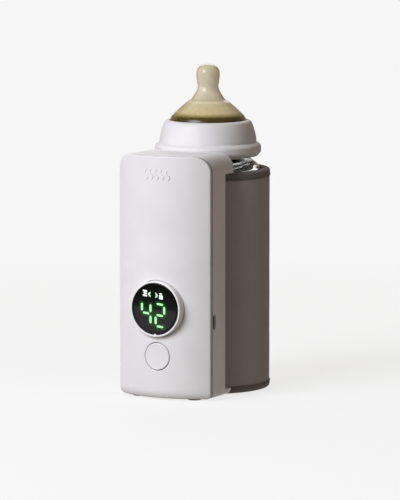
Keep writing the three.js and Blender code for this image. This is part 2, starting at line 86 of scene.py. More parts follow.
bottle_low, bottle_high = box_mm("bottle")
AXIS_Y = (bottle_low[1] + bottle_high[1]) / 2
BOTTLE_RADIUS = 32.7
THREAD_PITCH, THREAD_START = 6.0, 148.6
COLLAR_TOP = box_mm("collar")[1][2]
TEAT_LOW, TEAT_TIP = box_mm("teat")[0][2], box_mm("teat")[1][2]
sleeve_low, sleeve_high = box_mm("sleeve_padding")
SLEEVE_RADIUS = (sleeve_high[0] - sleeve_low[0]) / 2
RIM_TOP = box_mm("sleeve_top_binding")[1][2]

display_low, display_high = box_mm("display_window")
DISPLAY_Z = (display_low[2] + display_high[2]) / 2
DISPLAY_FRONT = box_mm("display_bezel")[0][1]
RING_RADIUS, GLASS_RADIUS = 17.3, 15.9
WINDOW_SET_BACK = 0.3
GLASS_DOME = 0.25  # how far the window's middle stands proud of its rim
TAB_Z = DISPLAY_Z - GLASS_RADIUS - 0.1  # the ring's small locating tab
FLANGE_RADIUS = 9.8  # of the button's flange, behind the panel
BUTTON_Z = box_mm("power_button")[0][2] + FLANGE_RADIUS
BUTTON_RADIUS, BUTTON_GAP, BUTTON_PROUD = 8.35, 0.45, 0.3
SOCKET_Y, SOCKET_Z = -35.9, 48.3

# ---- the readout's digits

SLANT = -0.107  # the readout is drawn with a slight fall to the right
BAR_SPACING = (2.975, 3.45)  # from a digit's middle across, and up, to the middles of its upright bars
BAR_SIZES = {True: (4.9, 1.4), False: (4.6, 1.25)}  # length and thickness, upright or level
BAR_PLACES = {
    "a": (0, 2, False), "g": (0, 0, False), "d": (0, -2, False),
    "f": (-1, 1, True), "b": (1, 1, True), "e": (-1, -1, True), "c": (1, -1, True),
}


def digit(lit, x, z):
    """The lit bars of one seven-segment digit whose middle bar is at (x, z)."""
    bars = []
    for bar in lit:
        across, up, upright = BAR_PLACES[bar]
        place = (x + across * BAR_SPACING[0], z + up * BAR_SPACING[1])
        bars.append((*place, *BAR_SIZES[upright], upright))
    return bars


READOUT_BARS = digit("fbgc", -6.0, -3.35) + digit("abged", 3.5, -3.35)  # a 4 and a 2

# ---- camera and light


def new_object(name, data):
    obj = bpy.data.objects.new(name, data)
    bpy.context.scene.collection.objects.link(obj)
    return obj


def aim(obj, azimuth, elevation, distance, centre):
    """Stands an object off from a centre and turns it to look there. Azimuth runs from -Y towards +X."""
    a, e = math.radians(azimuth), math.radians(elevation)
    out = Vector((math.sin(a) * math.cos(e), -math.cos(a) * math.cos(e), math.sin(e)))
    obj.location = Vector(centre) + out * distance
    obj.rotation_mode = "QUATERNION"
    obj.rotation_quaternion = (-out).to_track_quat("-Z", "Y")


def make_camera():
    data = bpy.data.cameras.new("camera")
    data.lens = 299.5
    data.sensor_width = 36
    data.clip_start, data.clip_end = 0.05, 50
    camera = new_object("camera", data)
    centre = (-0.0057, AXIS_Y / 1000, 0.0851)
    aim(camera, azimuth=28, elevation=7, distance=2.6, centre=centre)
    bpy.context.scene.camera = camera


def area_light(name, size, power, colour, **direction):
    data = bpy.data.lights.new(name, "AREA")
    data.shape = "DISK"
    data.size, data.energy, data.color = size, power, colour
    aim(new_object(name, data), centre=(0, 0.01, 0.09), **direction)


def make_world():
    """A dim warm fill that lights the object, and a pale backdrop, seen directly and through glass."""
    world = bpy.data.worlds.new("studio")
    bpy.context.scene.world = world
    world.use_nodes = True
    tree = world.node_tree
    tree.nodes.clear()
    path = tree.nodes.new("ShaderNodeLightPath")
    seen = tree.nodes.new("ShaderNodeMath")
    seen.operation = "MAXIMUM"
    mix = tree.nodes.new("ShaderNodeMixShader")
    out = tree.nodes.new("ShaderNodeOutputWorld")
    tree.links.new(path.outputs["Is Camera Ray"], seen.inputs[0])
    tree.links.new(path.outputs["Is Transmission Ray"], seen.inputs[1])
    tree.links.new(seen.outputs[0], mix.inputs[0])
    for slot, colour, strength in ((1, (1.0, 0.85, 0.71, 1), 0.2), (2, (0.92, 0.92, 0.92, 1), 1.0)):
        background = tree.nodes.new("ShaderNodeBackground")
        background.inputs["Color"].default_value = colour
        background.inputs["Strength"].default_value = strength
        tree.links.new(background.outputs[0], mix.inputs[slot])
    tree.links.new(mix.outputs[0], out.inputs[0])


def make_stage():
    make_world()
    area_light("key", 0.9, 21.5, (0.945, 0.955, 1.02), azimuth=-18, elevation=31, distance=1.5)
    area_light("back_soft", 1.0, 5, (1.0, 0.98, 0.96), azimuth=205, elevation=30, distance=1.6)
    reach = 1.2
    mesh = bpy.data.meshes.new("floor")
    mesh.from_pydata([(a * reach, b * reach, 0) for a, b in CORNERS], [], [(0, 1, 2, 3)])
    mesh.materials.append(floor_material())
    floor = new_object("floor", mesh)
    floor.visible_diffuse = False
    settings = bpy.context.scene.view_settings
    settings.view_transform = "Standard"
    settings.look = "None"


# ---- material helpers


class Shader:
    """A Principled material, with short calls for the nodes that feed it."""

    def __init__(self, name, colour, roughness, **sockets):
        self.material = bpy.data.materials.new(name)
        self.material.use_nodes = True
        self.tree = self.material.node_tree
        self.bsdf = self.tree.nodes["Principled BSDF"]
        self.coordinates = self.tree.nodes.new("ShaderNodeTexCoord")
        self.set(Base_Color=(*colour, 1), Roughness=roughness, **sockets)

    def feed(self, socket, value):
        """Links an output to a socket, or gives the socket a number or colour."""
        if isinstance(value, bpy.types.NodeSocket):
            self.tree.links.new(value, socket)
        else:
            socket.default_value = value

    def set(self, **sockets):
        for key, value in sockets.items():
            self.feed(self.bsdf.inputs[key.replace("_", " ")], value)

    def node(self, kind, *values, **settings):
        """A node with its properties and named inputs from settings, and its first inputs from values."""
        node = self.tree.nodes.new(kind)
        for key, value in settings.items():
            if key in node.inputs:
                self.feed(node.inputs[key], value)
            else:
                setattr(node, key, value)
        for socket, value in zip(node.inputs, values):
            self.feed(socket, value)
        return node

    def place(self, kind="Object", scale=(1, 1, 1), rotation=(0, 0, 0)):
        """Texture coordinates in the row frame, or the UV map that fabric pieces carry in millimetres."""
        source = self.coordinates.outputs[kind]
        return self.node("ShaderNodeMapping", Vector=source, Scale=scale, Rotation=rotation).outputs[0]

    def noise(self, scale, detail=3.0, roughness=0.5, place=None):
        sockets = {"Scale": scale, "Detail": detail, "Roughness": roughness}
        return self.node("ShaderNodeTexNoise", Vector=place or self.place(), **sockets).outputs["Fac"]

    def waves(self, scale, place, direction="X", distortion=0.0):
        sockets = {"Scale": scale, "Distortion": distortion, "bands_direction": direction}
        return self.node("ShaderNodeTexWave", Vector=place, **sockets).outputs["Fac"]

    def spread(self, value, low, high, start=0.0, end=1.0):
        """Maps value from start..end to low..high."""
        return self.node("ShaderNodeMapRange", value, start, end, low, high).outputs["Result"]

    def vary(self, noise, low, high):
        """Maps the range that a noise mostly keeps to, 0.3 to 0.7, to low..high."""
        return self.spread(noise, low, high, 0.3, 0.7)

    def math(self, operation, *values):
        return self.node("ShaderNodeMath", *values, operation=operation).outputs[0]

    def vector(self, operation, *values):
        node = self.node("ShaderNodeVectorMath", *values, operation=operation)
        return node.outputs["Value" if operation == "LENGTH" else "Vector"]

    def mix(self, factor, colour_a, colour_b):
        node = self.node("ShaderNodeMix", factor, data_type="RGBA")
        for socket, colour in zip(node.inputs[6:8], (colour_a, colour_b)):
            self.feed(socket, (*colour, 1) if isinstance(colour, tuple) else colour)
        return node.outputs[2]

    def darken(self, colour, value):
        return self.node("ShaderNodeHueSaturation", Color=colour, Value=value).outputs["Color"]

    def bump(self, height, distance_mm, strength=1.0):
        """Adds relief to the surface, on top of any it has."""
        node = self.node("ShaderNodeBump", Height=height, Strength=strength, Distance=distance_mm / 1000)
        normal = self.bsdf.inputs["Normal"]
        if normal.is_linked:
            self.feed(node.inputs["Normal"], normal.links[0].from_socket)
        self.feed(normal, node.outputs["Normal"])


def shade(colour, factor):
    return tuple(min(1.0, c * factor) for c in colour)


# ---- materials


def floor_material():
    """A pale studio sweep that takes a soft shadow and fades into the backdrop."""
    floor = Shader("studio_floor", (0.2, 0.2, 0.2), 0.8, Emission_Color=(1, 1, 1, 1))
    tone = floor.spread(floor.noise(3.0, 2.0), 0.0, 1.0, 0.35, 0.65)
    distance = floor.vector("LENGTH", floor.place())
    floor.set(
        Base_Color=floor.mix(tone, (0.20, 0.20, 0.20), (0.205, 0.205, 0.205)),
        Emission_Strength=0.76,
        Specular_IOR_Level=0.0,
        Alpha=floor.spread(distance, 1.0, 0.0, 0.15, 0.7),
    )
    return floor.material


def plastic(name, colour, roughness, grain_mm=0.35, grain_depth=0.006, mottle=0.03):
    """Moulded plastic: a fine spark-eroded grain, slow tone drift and small gloss changes."""
    m = Shader(name, colour, roughness, IOR=1.49)
    drift = m.vary(m.noise(45), 0.0, 1.0)
    rub = m.noise(160, 4.0, 0.6)
    m.set(
        Base_Color=m.mix(drift, shade(colour, 1 - mottle), shade(colour, 1 + mottle * 0.6)),
        Roughness=m.vary(rub, roughness - 0.07, roughness + 0.08),
    )
    m.bump(m.noise(1000 / grain_mm, 2.0, 0.6), grain_depth)
    m.bump(m.noise(26, 2.0), 0.05, 0.4)
    return m.material


def knit(name, colour, second, thread_mm, depth_mm):
    """A fine warp knit, from the piece's own millimetre UV map: ribs of small loops, with painted shade in
    the hollows between them, and melange yarn.
    """
    m = Shader(name, colour, 0.92, Sheen_Weight=0.25, Sheen_Roughness=0.5, Specular_IOR_Level=0.15)
    flat = m.place("UV")
    ribs = m.waves(0.5 / thread_mm, flat, "X", 0.4)
    rows = m.waves(0.625 / thread_mm, flat, "Y", 0.6)
    loops = m.math("MULTIPLY", ribs, rows)
    yarn = m.noise(2.2, 4.0, 0.65, flat)
    slow = m.noise(0.06, 3.0, 0.5, flat)
    tone = m.math("ADD", m.vary(yarn, -0.35, 0.45), m.vary(slow, 0.35, 0.65))
    m.set(
        # Darkening the colour where the loops are low is painted shade in the hollows of the knit.
        Base_Color=m.darken(m.mix(tone, colour, second), m.spread(loops, 0.72, 1.06)),
        Roughness=m.spread(yarn, 0.82, 0.97),
    )
    m.bump(loops, depth_mm)
    m.bump(slow, 0.5, 0.3)
    return m.material


def tape(name, colour, second):
    """Folded bias tape: a steep twill with a little fuzz."""
    m = Shader(name, colour, 0.88, Sheen_Weight=0.2, Sheen_Roughness=0.5, Specular_IOR_Level=0.2)
    twill = m.waves(0.9, m.place("UV", rotation=(0, 0, math.radians(38))), "X", 0.8)
    fuzz = m.noise(3.0, 4.0, 0.7, m.place("UV"))
    tone = m.math("ADD", m.spread(twill, 0.0, 0.6), m.vary(fuzz, -0.2, 0.5))
    m.set(Base_Color=m.mix(tone, colour, second), Roughness=m.spread(fuzz, 0.78, 0.96))
    m.bump(twill, 0.08)
    m.bump(fuzz, 0.05)
    return m.material


def bar_distance(m, x, level):
    """How far a point of the readout is from its nearest lit bar, in millimetres."""
    point = m.node("ShaderNodeCombineXYZ", x, level).outputs[0]
    nearest = 50.0
    for bar_x, bar_z, length, thickness, upright in READOUT_BARS:
        half = (thickness / 2, length / 2, 0) if upright else (length / 2, thickness / 2, 0)
        offset = m.vector("ABSOLUTE", m.vector("SUBTRACT", point, (bar_x, bar_z, 0)))
        outside = m.vector("MAXIMUM", m.vector("SUBTRACT", offset, half), (0, 0, 0))
        nearest = m.math("MINIMUM", nearest, m.vector("LENGTH", outside))
    return nearest


def display_glass():
    """Smoked window: black border, a painted reflection that makes the screen slightly paler in its lower
    half, and the digits' green haze.
    """
    m = Shader("smoked_window", (0.006, 0.008, 0.007), 0.08, Specular_IOR_Level=0.25)
    x, _, height = m.node("ShaderNodeSeparateXYZ", m.place(scale=(1000, 1000, 1000))).outputs
    z = m.math("SUBTRACT", height, DISPLAY_Z)
    spot = m.node("ShaderNodeCombineXYZ", X=x, Z=z).outputs[0]
    inside = m.spread(m.vector("LENGTH", spot), 1.0, 0.0, 14.2, 14.6)
    # The screen's paler lower half is a painted reflection.
    lower = m.spread(m.math("ADD", z, m.math("MULTIPLY", x, 0.06)), 1.0, 0.0, -0.6, 1.0)
    speckle = m.vary(m.noise(900), 0.75, 1.15)
    screen_with_painted_reflection = m.math("MULTIPLY", m.math("MULTIPLY", inside, lower), speckle)
    level = m.math("SUBTRACT", z, m.math("MULTIPLY", x, SLANT))
    haze = m.math("POWER", m.spread(bar_distance(m, x, level), 1.0, 0.0, 0.0, 2.2), 2.0)
    m.set(
        Base_Color=m.mix(screen_with_painted_reflection, (0.001, 0.002, 0.0015), (0.023, 0.021, 0.024)),
        Roughness=m.vary(m.noise(220, 4.0), 0.05, 0.13),
        Emission_Color=(0.02, 1.0, 0.04, 1),
        Emission_Strength=m.math("MULTIPLY", haze, 0.08),
    )
    return m.material


def glowing(name, colour, strength):
    """A lit segment behind faintly cellular plastic."""
    m = Shader(name, shade(colour, 0.6), 0.4, Emission_Color=(*colour, 1), Emission_Strength=strength)
    m.set(Roughness=m.spread(m.noise(1500, 2.0), 0.35, 0.5))
    return m.material


def clear_glass():
    """Clear pressed glass with slight waviness and a hard polished skin."""
    m = Shader("bottle_glass", (0.80, 0.83, 0.81), 0.03, Transmission_Weight=1.0, IOR=1.45)
    m.set(Coat_Weight=1.0, Coat_Roughness=0.03, Coat_IOR=1.5)
    m.set(Roughness=m.spread(m.noise(70), 0.0, 0.06, 0.35, 0.7))
    m.bump(m.noise(18, 2.0), 0.12, 0.5)
    return m.material


# Height up the visible teat (0 to 1) and its colour there. The dark foot is partly deeper amber and partly
# painted shade, and the pale band near 0.33 is a painted highlight.
TEAT_TONES_WITH_PAINTED_LIGHT = (
    (0.0, (0.045, 0.027, 0.006)),
    (0.075, (0.06, 0.040, 0.010)),
    (0.11, (0.25, 0.20, 0.075)),
    (0.15, (0.45, 0.385, 0.215)),
    (0.3, (0.45, 0.395, 0.245)),
    (0.33, (0.56, 0.50, 0.36)),
    (0.36, (0.42, 0.375, 0.25)),
    (0.5, (0.48, 0.435, 0.325)),
    (1.0, (0.45, 0.405, 0.28)),
)


def latex():
    """Amber teat rubber with painted light: dark where its base fills the collar (partly deeper amber, partly
    painted shade), paler above with a painted highlight band, painted shade deepening along its outline, and
    a faint painted glow.
    """
    m = Shader("amber_teat", (0.8, 0.7, 0.45), 0.3, IOR=1.42, Subsurface_Weight=0.6, Subsurface_Scale=0.002)
    # The emission here makes the teat glow faintly in its own colour: a painted glow for light passing
    # through the rubber.
    m.set(Subsurface_Radius=(1.0, 0.75, 0.35), Emission_Strength=0.4)
    height = m.node("ShaderNodeSeparateXYZ", m.place()).outputs["Z"]
    tone_with_painted_light = m.node("ShaderNodeValToRGB", m.spread(height, 0.0, 1.0, COLLAR_TOP / 1000, TEAT_TIP / 1000))
    ramp = tone_with_painted_light.color_ramp.elements
    for element, (position, colour) in zip(ramp, (TEAT_TONES_WITH_PAINTED_LIGHT[0], TEAT_TONES_WITH_PAINTED_LIGHT[-1])):
        element.position, element.color = position, (*colour, 1)
    for position, colour in TEAT_TONES_WITH_PAINTED_LIGHT[1:-1]:
        ramp.new(position).color = (*colour, 1)
    # The Layer Weight mix below darkens the colour towards the outline as seen from the camera: painted
    # shade.
    outline_shade_facing = m.node("ShaderNodeLayerWeight", Blend=0.5).outputs["Facing"]
    body = m.mix(m.spread(outline_shade_facing, 0.0, 0.85, 0.45, 1.0), tone_with_painted_light.outputs[0], (0.22, 0.17, 0.06))
    teat_colour_with_painted_light = m.darken(body, m.vary(m.noise(220), 0.94, 1.05))
    m.set(Base_Color=teat_colour_with_painted_light, Emission_Color=teat_colour_with_painted_light, Roughness=m.vary(m.noise(300), 0.2, 0.34))
    m.bump(m.noise(900, 2.0), 0.01)
    return m.material


def metal(name, colour, roughness):
    m = Shader(name, colour, roughness, Metallic=1.0)
    streaks = m.noise(900, 3.0, 0.6, m.place(scale=(1, 1, 0.06)))
    m.set(
        Base_Color=m.mix(m.noise(120), shade(colour, 0.88), colour),
        Roughness=m.vary(streaks, roughness - 0.08, roughness + 0.12),
    )
    m.bump(streaks, 0.004)
    return m.material


def rubber(name, colour):
    m = Shader(name, colour, 0.7)
    m.set(
        Base_Color=m.mix(m.noise(90, 4.0), shade(colour, 0.9), shade(colour, 1.06)),
        Roughness=m.vary(m.noise(500), 0.6, 0.82),
    )
    m.bump(m.noise(1600, 2.0), 0.02)
    return m.material


def circuit_board():
    """Green solder mask with a faint pattern of tracks under it."""
    mask, track = (0.02, 0.10, 0.05), (0.05, 0.20, 0.10)
    m = Shader("circuit_board", mask, 0.4, Coat_Weight=0.3)
    upright = m.place(rotation=(math.radians(90), 0, 0))
    sockets = {"Scale": 420.0, "Mortar Size": 0.06}
    pattern = m.node("ShaderNodeTexBrick", upright, **sockets).outputs["Fac"]
    m.set(Base_Color=m.mix(pattern, mask, track))
    m.bump(pattern, 0.02)
    return m.material


def heating_foil():
    """Copper-coloured film with a zigzag of etched heating tracks."""
    film, track = (0.55, 0.26, 0.10), (0.30, 0.12, 0.04)
    m = Shader("heating_foil", film, 0.35, Metallic=0.4)
    zigzag = m.waves(120, m.place(), "Z", 2.0)
    m.set(Base_Color=m.mix(m.spread(zigzag, 0, 1, 0.45, 0.55), film, track))
    m.bump(zigzag, 0.02)
    return m.material


WHITE = (0.83, 0.83, 0.84)
case_plastic = plastic("case_plastic", WHITE, 0.48)
ring_plastic = plastic("ring_plastic", shade(WHITE, 1.12), 0.4, mottle=0.015)
collar_plastic = plastic("collar_plastic", shade(WHITE, 0.92), 0.55, grain_mm=0.25, grain_depth=0.004)
inner_plastic = plastic("inner_plastic", (0.62, 0.62, 0.6), 0.5)
dark_plastic = plastic("dark_plastic", (0.02, 0.022, 0.025), 0.45, mottle=0.15)
sleeve_knit = knit("sleeve_knit", (0.545, 0.51, 0.545), (0.68, 0.64, 0.685), 0.55, 0.10)
lining_knit = knit("lining_knit", (0.22, 0.23, 0.23), (0.30, 0.31, 0.31), 0.35, 0.05)
edge_tape = tape("edge_tape", (0.165, 0.152, 0.148), (0.245, 0.226, 0.222))
thread = tape("stitch_thread", (0.10, 0.09, 0.088), (0.16, 0.145, 0.14))
window_glass = display_glass()
digit_glow = glowing("digit_glow", (0.34, 0.86, 0.36), 0.9)
icon_glow = glowing("icon_glow", (0.85, 0.9, 0.86), 0.85)
arrow_glow = glowing("arrow_glow", (0.5, 0.9, 0.55), 0.8)
bottle_glass = clear_glass()
teat_latex = latex()
steel = metal("plated_steel", (0.62, 0.63, 0.65), 0.28)
# The socket's steel below is a darkened copy of the plated steel: painted shade for the inside of the
# charging slot.
slot_shade_steel = metal("slot_shade_steel", (0.16, 0.155, 0.15), 0.35)
nickel = metal("nickel_strip", (0.66, 0.63, 0.56), 0.32)
brass = metal("contact_gold", (0.80, 0.58, 0.25), 0.3)
pad_rubber = rubber("pad_silicone", (0.46, 0.47, 0.48))
# The seam's dark rubber below is painted shade: a dark strip that stands for the shadow line round the panel.
seam_shadow_rubber = rubber("seam_shadow_rubber", (0.07, 0.065, 0.06))
foot_rubber = rubber("foot_rubber", (0.06, 0.06, 0.062))
scale_ink = rubber("scale_ink", (0.75, 0.76, 0.76))
red_wire = rubber("red_wire", (0.42, 0.03, 0.025))
black_wire = rubber("black_wire", (0.02, 0.02, 0.02))
cell_wrap = plastic("cell_wrap", (0.03, 0.16, 0.42), 0.3, grain_depth=0.002)
board_green = circuit_board()
foil = heating_foil()

# ---- mesh helpers


def full_turn(steps):
    return np.linspace(0, 2 * math.pi, steps, endpoint=False)


def circle(x, z, radius, steps):
    t = full_turn(steps)
    return np.stack([x + radius * np.cos(t), z + radius * np.sin(t)], -1)


def rounded(points, steps=5, closed=True):
    """A path through (a, b) or (a, b, radius) points, with each given radius as a true arc."""
    path = []
    count = len(points)
    for i, point in enumerate(points):
        here = np.array(point[:2], float)
        if len(point) < 3 or (not closed and i in (0, count - 1)):
            path.append(here)
            continue
        before = np.array(points[i - 1][:2], float) - here
        after = np.array(points[(i + 1) % count][:2], float) - here
        before, after = before / np.linalg.norm(before), after / np.linalg.norm(after)
        half = math.acos(np.clip(before @ after, -1, 1)) / 2
        centre = here + (before + after) / np.linalg.norm(before + after) * point[2] / math.sin(half)
        reach = point[2] / math.tan(half)
        start, end = here + before * reach - centre, here + after * reach - centre
        sweep = math.pi - 2 * half
        for t in np.linspace(0, 1, steps + 1):
            arm = start * math.sin((1 - t) * sweep) + end * math.sin(t * sweep)
            path.append(centre + arm / math.sin(sweep))
    return np.array(path)


def rounded_box(x, z, width, height, radius, steps):
    """The outline of a rectangle about (x, z), with rounded corners."""
    return rounded([(x + a * width / 2, z + b * height / 2, radius) for a, b in CORNERS], steps)


def spline(points, per_span=6):
    """A smooth open path through the points (Catmull-Rom)."""
    p = np.array(points, float)
    p = np.vstack([2 * p[0] - p[1], p, 2 * p[-1] - p[-2]])
    path = []
    for a, b, c, d in zip(p, p[1:], p[2:], p[3:]):
        square, cube = 2 * a - 5 * b + 4 * c - d, 3 * b - a - 3 * c + d
        for t in np.linspace(0, 1, per_span, endpoint=False):
            path.append(0.5 * (2 * b + (c - a) * t + square * t**2 + cube * t**3))
    path.append(p[-2])
    return np.array(path)


def densify(path, step=0.8):
    """Adds points so that no part of a closed path is longer than step."""
    dense = []
    for a, b in zip(path, np.roll(path, -1, axis=0)):
        count = max(1, math.ceil(np.linalg.norm(b - a) / step))
        dense += [a + (b - a) * k / count for k in range(count)]
    return np.array(dense)


def new_mesh(name, verts, faces):
    """A mesh object with outward normals, from millimetre vertices."""
    mesh = bpy.data.meshes.new(name)
    mesh.from_pydata((np.asarray(verts, float) / 1000).tolist(), [], faces)
    obj = new_object(name, mesh)
    clean(obj)
    return obj


@contextmanager
def editing(obj):
    """Opens the object's mesh for editing and writes it back."""
    bm = bmesh.new()
    bm.from_mesh(obj.data)
    yield bm
    bm.to_mesh(obj.data)
    bm.free()


def clean(obj, merge=1e-6):
    """Merges doubled points, drops slivers and turns every face outwards."""
    with editing(obj) as bm:
        bmesh.ops.remove_doubles(bm, verts=bm.verts, dist=merge)
        bmesh.ops.dissolve_degenerate(bm, edges=bm.edges, dist=merge / 2)
        bmesh.ops.recalc_face_normals(bm, faces=bm.faces)


def bake(obj):
    """Applies the object's modifiers to its mesh."""
    graph = bpy.context.evaluated_depsgraph_get()
    mesh = bpy.data.meshes.new_from_object(obj.evaluated_get(graph))
    obj.modifiers.clear()
    obj.data = mesh


def combine(obj, others, operation):
    for other in others:
        modifier = obj.modifiers.new("boolean", "BOOLEAN")
        modifier.operation, modifier.solver, modifier.object = operation, "EXACT", other
    bake(obj)
    for other in others:
        bpy.data.objects.remove(other)
    clean(obj)


def cut(obj, *others):
    combine(obj, others, "DIFFERENCE")


def join(obj, *others):
    combine(obj, others, "UNION")


def soften(obj, width_mm, segments=3):
    """Joins the object's coplanar faces, then rounds its sharp edges."""
    with editing(obj) as bm:
        bmesh.ops.dissolve_limit(bm, angle_limit=math.radians(0.5), verts=bm.verts, edges=bm.edges)
    modifier = obj.modifiers.new("bevel", "BEVEL")
    modifier.use_clamp_overlap = False
    modifier.width, modifier.segments = width_mm / 1000, segments
    modifier.limit_method, modifier.angle_limit = "ANGLE", math.radians(40)
    bake(obj)


def finish_piece(obj, material, replaced=(), body="warmer", sharp=35, flat_faces=False):
    """Gives a piece its material and shading, hangs it on its body and hides the CAD nodes it replaces.
    Flat-faced ones keep their flats truly flat in the light.
    """
    mesh = obj.data
    mesh.materials.clear()
    mesh.materials.append(material)
    mesh.shade_smooth()
    mesh.set_sharp_from_angle(angle=math.radians(sharp))
    if flat_faces:
        modifier = obj.modifiers.new("normals", "WEIGHTED_NORMAL")
        modifier.keep_sharp = True
        bake(obj)
    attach(obj, body)
    if replaced:
        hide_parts(*replaced)


def grid_faces(rows, columns, wrap_rows=False, wrap_columns=False):
    faces = []
    for i in range(rows if wrap_rows else rows - 1):
        for j in range(columns if wrap_columns else columns - 1):
            i2, j2 = (i + 1) % rows, (j + 1) % columns
            faces.append((i * columns + j, i * columns + j2, i2 * columns + j2, i2 * columns + j))
    return faces


def loft(name, *runs):
    """Closed bodies, each lofted through its rings of points and capped at both ends."""
    verts, faces = [], []
    for rings in runs:
        rings = np.asarray(rings, float)
        rows, count = rings.shape[:2]
        skin = grid_faces(rows, count, wrap_columns=True)
        skin += [tuple(range(count)), tuple(range((rows - 1) * count, rows * count))]
        start = len(verts)
        faces += [tuple(start + i for i in face) for face in skin]
        verts += rings.reshape(-1, 3).tolist()
    return new_mesh(name, verts, faces)


def prism(name, outline, low, high, axis="Y"):
    """A closed outline in (x, z) run along Y, or one in (y, z) run along X."""
    rings = []
    for level in (low, high):
        if axis == "Y":
            rings.append([(a, level, b) for a, b in outline])
        else:
            rings.append([(level, a, b) for a, b in outline])
    return loft(name, rings)


def block(name, centre, size):
    (x, y, z), (wide, deep, tall) = centre, np.array(size) / 2
    return prism(name, [(x + a * wide, z + b * tall) for a, b in CORNERS], y - deep, y + deep)


def disc(name, radius, centre, low, high, steps):
    """A plain round bar along Y between two depths, for cutting and joining."""
    return prism(name, circle(*centre, radius, steps), low, high)


def revolve(name, profile, steps=160, closed=True, centre=(0, AXIS_Y), axis="Z"):
    """Turns a (radius, height) path about a line along Z through (x, y), or along Y through (x, z)."""
    profile = np.asarray(profile, float)
    angles = full_turn(steps)
    radius, height = profile[:, :1], profile[:, 1:] * np.ones(steps)
    across, away = centre[0] + radius * np.sin(angles), centre[1] - radius * np.cos(angles)
    verts = np.stack((across, away, height) if axis == "Z" else (across, height, away), -1)
    faces = grid_faces(len(profile), steps, wrap_rows=closed, wrap_columns=True)
    return new_mesh(name, verts.reshape(-1, 3), faces)


# ---- the case's bowed face


def bow_y(x):
    return FRONT_Y + BOW_RADIUS - np.sqrt(BOW_RADIUS**2 - np.square(x))


def face_y(x, z):
    """The front face's depth: bowed across, and rolled under at its foot."""
    t = np.clip((CASE_BOTTOM + ROLL_HEIGHT - z) / ROLL_HEIGHT, 0, 1)
    return bow_y(x) + ROLL_DEPTH * (1 - np.sqrt(1 - t**2))


def on_face(points, depth):
    """Points given in (x, z), laid on the face or at a depth behind it."""
    x, z = np.asarray(points, float).T
    return np.stack([x, face_y(x, z) + depth, z], -1)


def perimeter(inset, across=26, upright=60, arc=13):
    """The case's outline in (x, z), drawn in by an inset, with as many points whatever the inset."""
    x, low, high = HALF_WIDTH - inset, CASE_BOTTOM + inset, CASE_TOP - inset
    upper, lower = TOP_CORNER - inset, BOTTOM_CORNER - inset
    corners = (
        (x - lower, low + lower, lower, 270), (x - upper, high - upper, upper, 0),
        (upper - x, high - upper, upper, 90), (lower - x, low + lower, lower, 180),
    )
    arcs = []
    for centre_x, centre_z, radius, start in corners:
        t = np.radians(np.linspace(start, start + 90, arc))
        arcs.append(np.stack([centre_x + radius * np.cos(t), centre_z + radius * np.sin(t)], -1))
    path = []
    for turn, following, count in zip(arcs, arcs[1:] + arcs[:1], (upright, across) * 2):
        path += [turn, np.linspace(turn[-1], following[0], count)[1:-1]]
    return np.vstack(path)


def outline_distance(x, z):
    """How far a point of the face lies inside its outline (negative outside)."""
    middle = (CASE_BOTTOM + CASE_TOP) / 2
    radius = np.where(z > middle, TOP_CORNER, BOTTOM_CORNER)
    across = np.abs(x) - (HALF_WIDTH - radius)
    up = np.abs(z - middle) - ((CASE_TOP - CASE_BOTTOM) / 2 - radius)
    beyond = np.hypot(np.maximum(across, 0), np.maximum(up, 0))
    return radius - beyond - np.minimum(np.maximum(across, up), 0)


def edge_drop(inset, radius):
    """How far a rounded edge has fallen back at a distance in from the outline."""
    short = max(0.0, radius - inset)
    return radius - math.sqrt(radius**2 - short**2)


# The display's and the button's holes: height of the middle, radius and points round.
PANEL_HOLES = ((DISPLAY_Z, RING_RADIUS + 0.3, 128), (BUTTON_Z, BUTTON_RADIUS + BUTTON_GAP, 96))


def on_panel(x, z, margin=0.0):
    """Whether points lie on the panel, at least margin from its outline and its holes."""
    clear = outline_distance(x, z) > margin
    for centre_z, radius, _ in PANEL_HOLES:
        clear &= np.hypot(x, z - centre_z) > radius + margin
    return clear


def triangulated(loops, depths, spacing, margin):
    """A sheet of the bowed face: closed loops at their own depths, and a grid at the last depth."""
    across = np.arange(-HALF_WIDTH, HALF_WIDTH, spacing)
    grid = np.stack(np.meshgrid(across, np.arange(CASE_BOTTOM, CASE_TOP, spacing)), -1).reshape(-1, 2)
    groups = [*loops, grid[on_panel(*grid.T, margin)]]
    points = np.vstack(groups)
    depth = np.repeat(depths, [len(group) for group in groups])
    edges, start = [], 0
    for loop in loops:
        count = len(loop)
        edges += [(start + i, start + (i + 1) % count) for i in range(count)]
        start += count
    triangles = delaunay_2d_cdt([Vector(p) for p in points], edges, [], 0, 1e-6)[2]
    kept = [tuple(t) for t in triangles if on_panel(*points[list(t)].mean(axis=0))]
    return on_face(points, depth), kept


def bridge(start_a, start_b, count):
    """Faces between two closed loops of points that are numbered from start_a and from start_b."""
    pairs = [(i, (i + 1) % count) for i in range(count)]
    return [(start_a + i, start_a + j, start_b + j, start_b + i) for i, j in pairs]


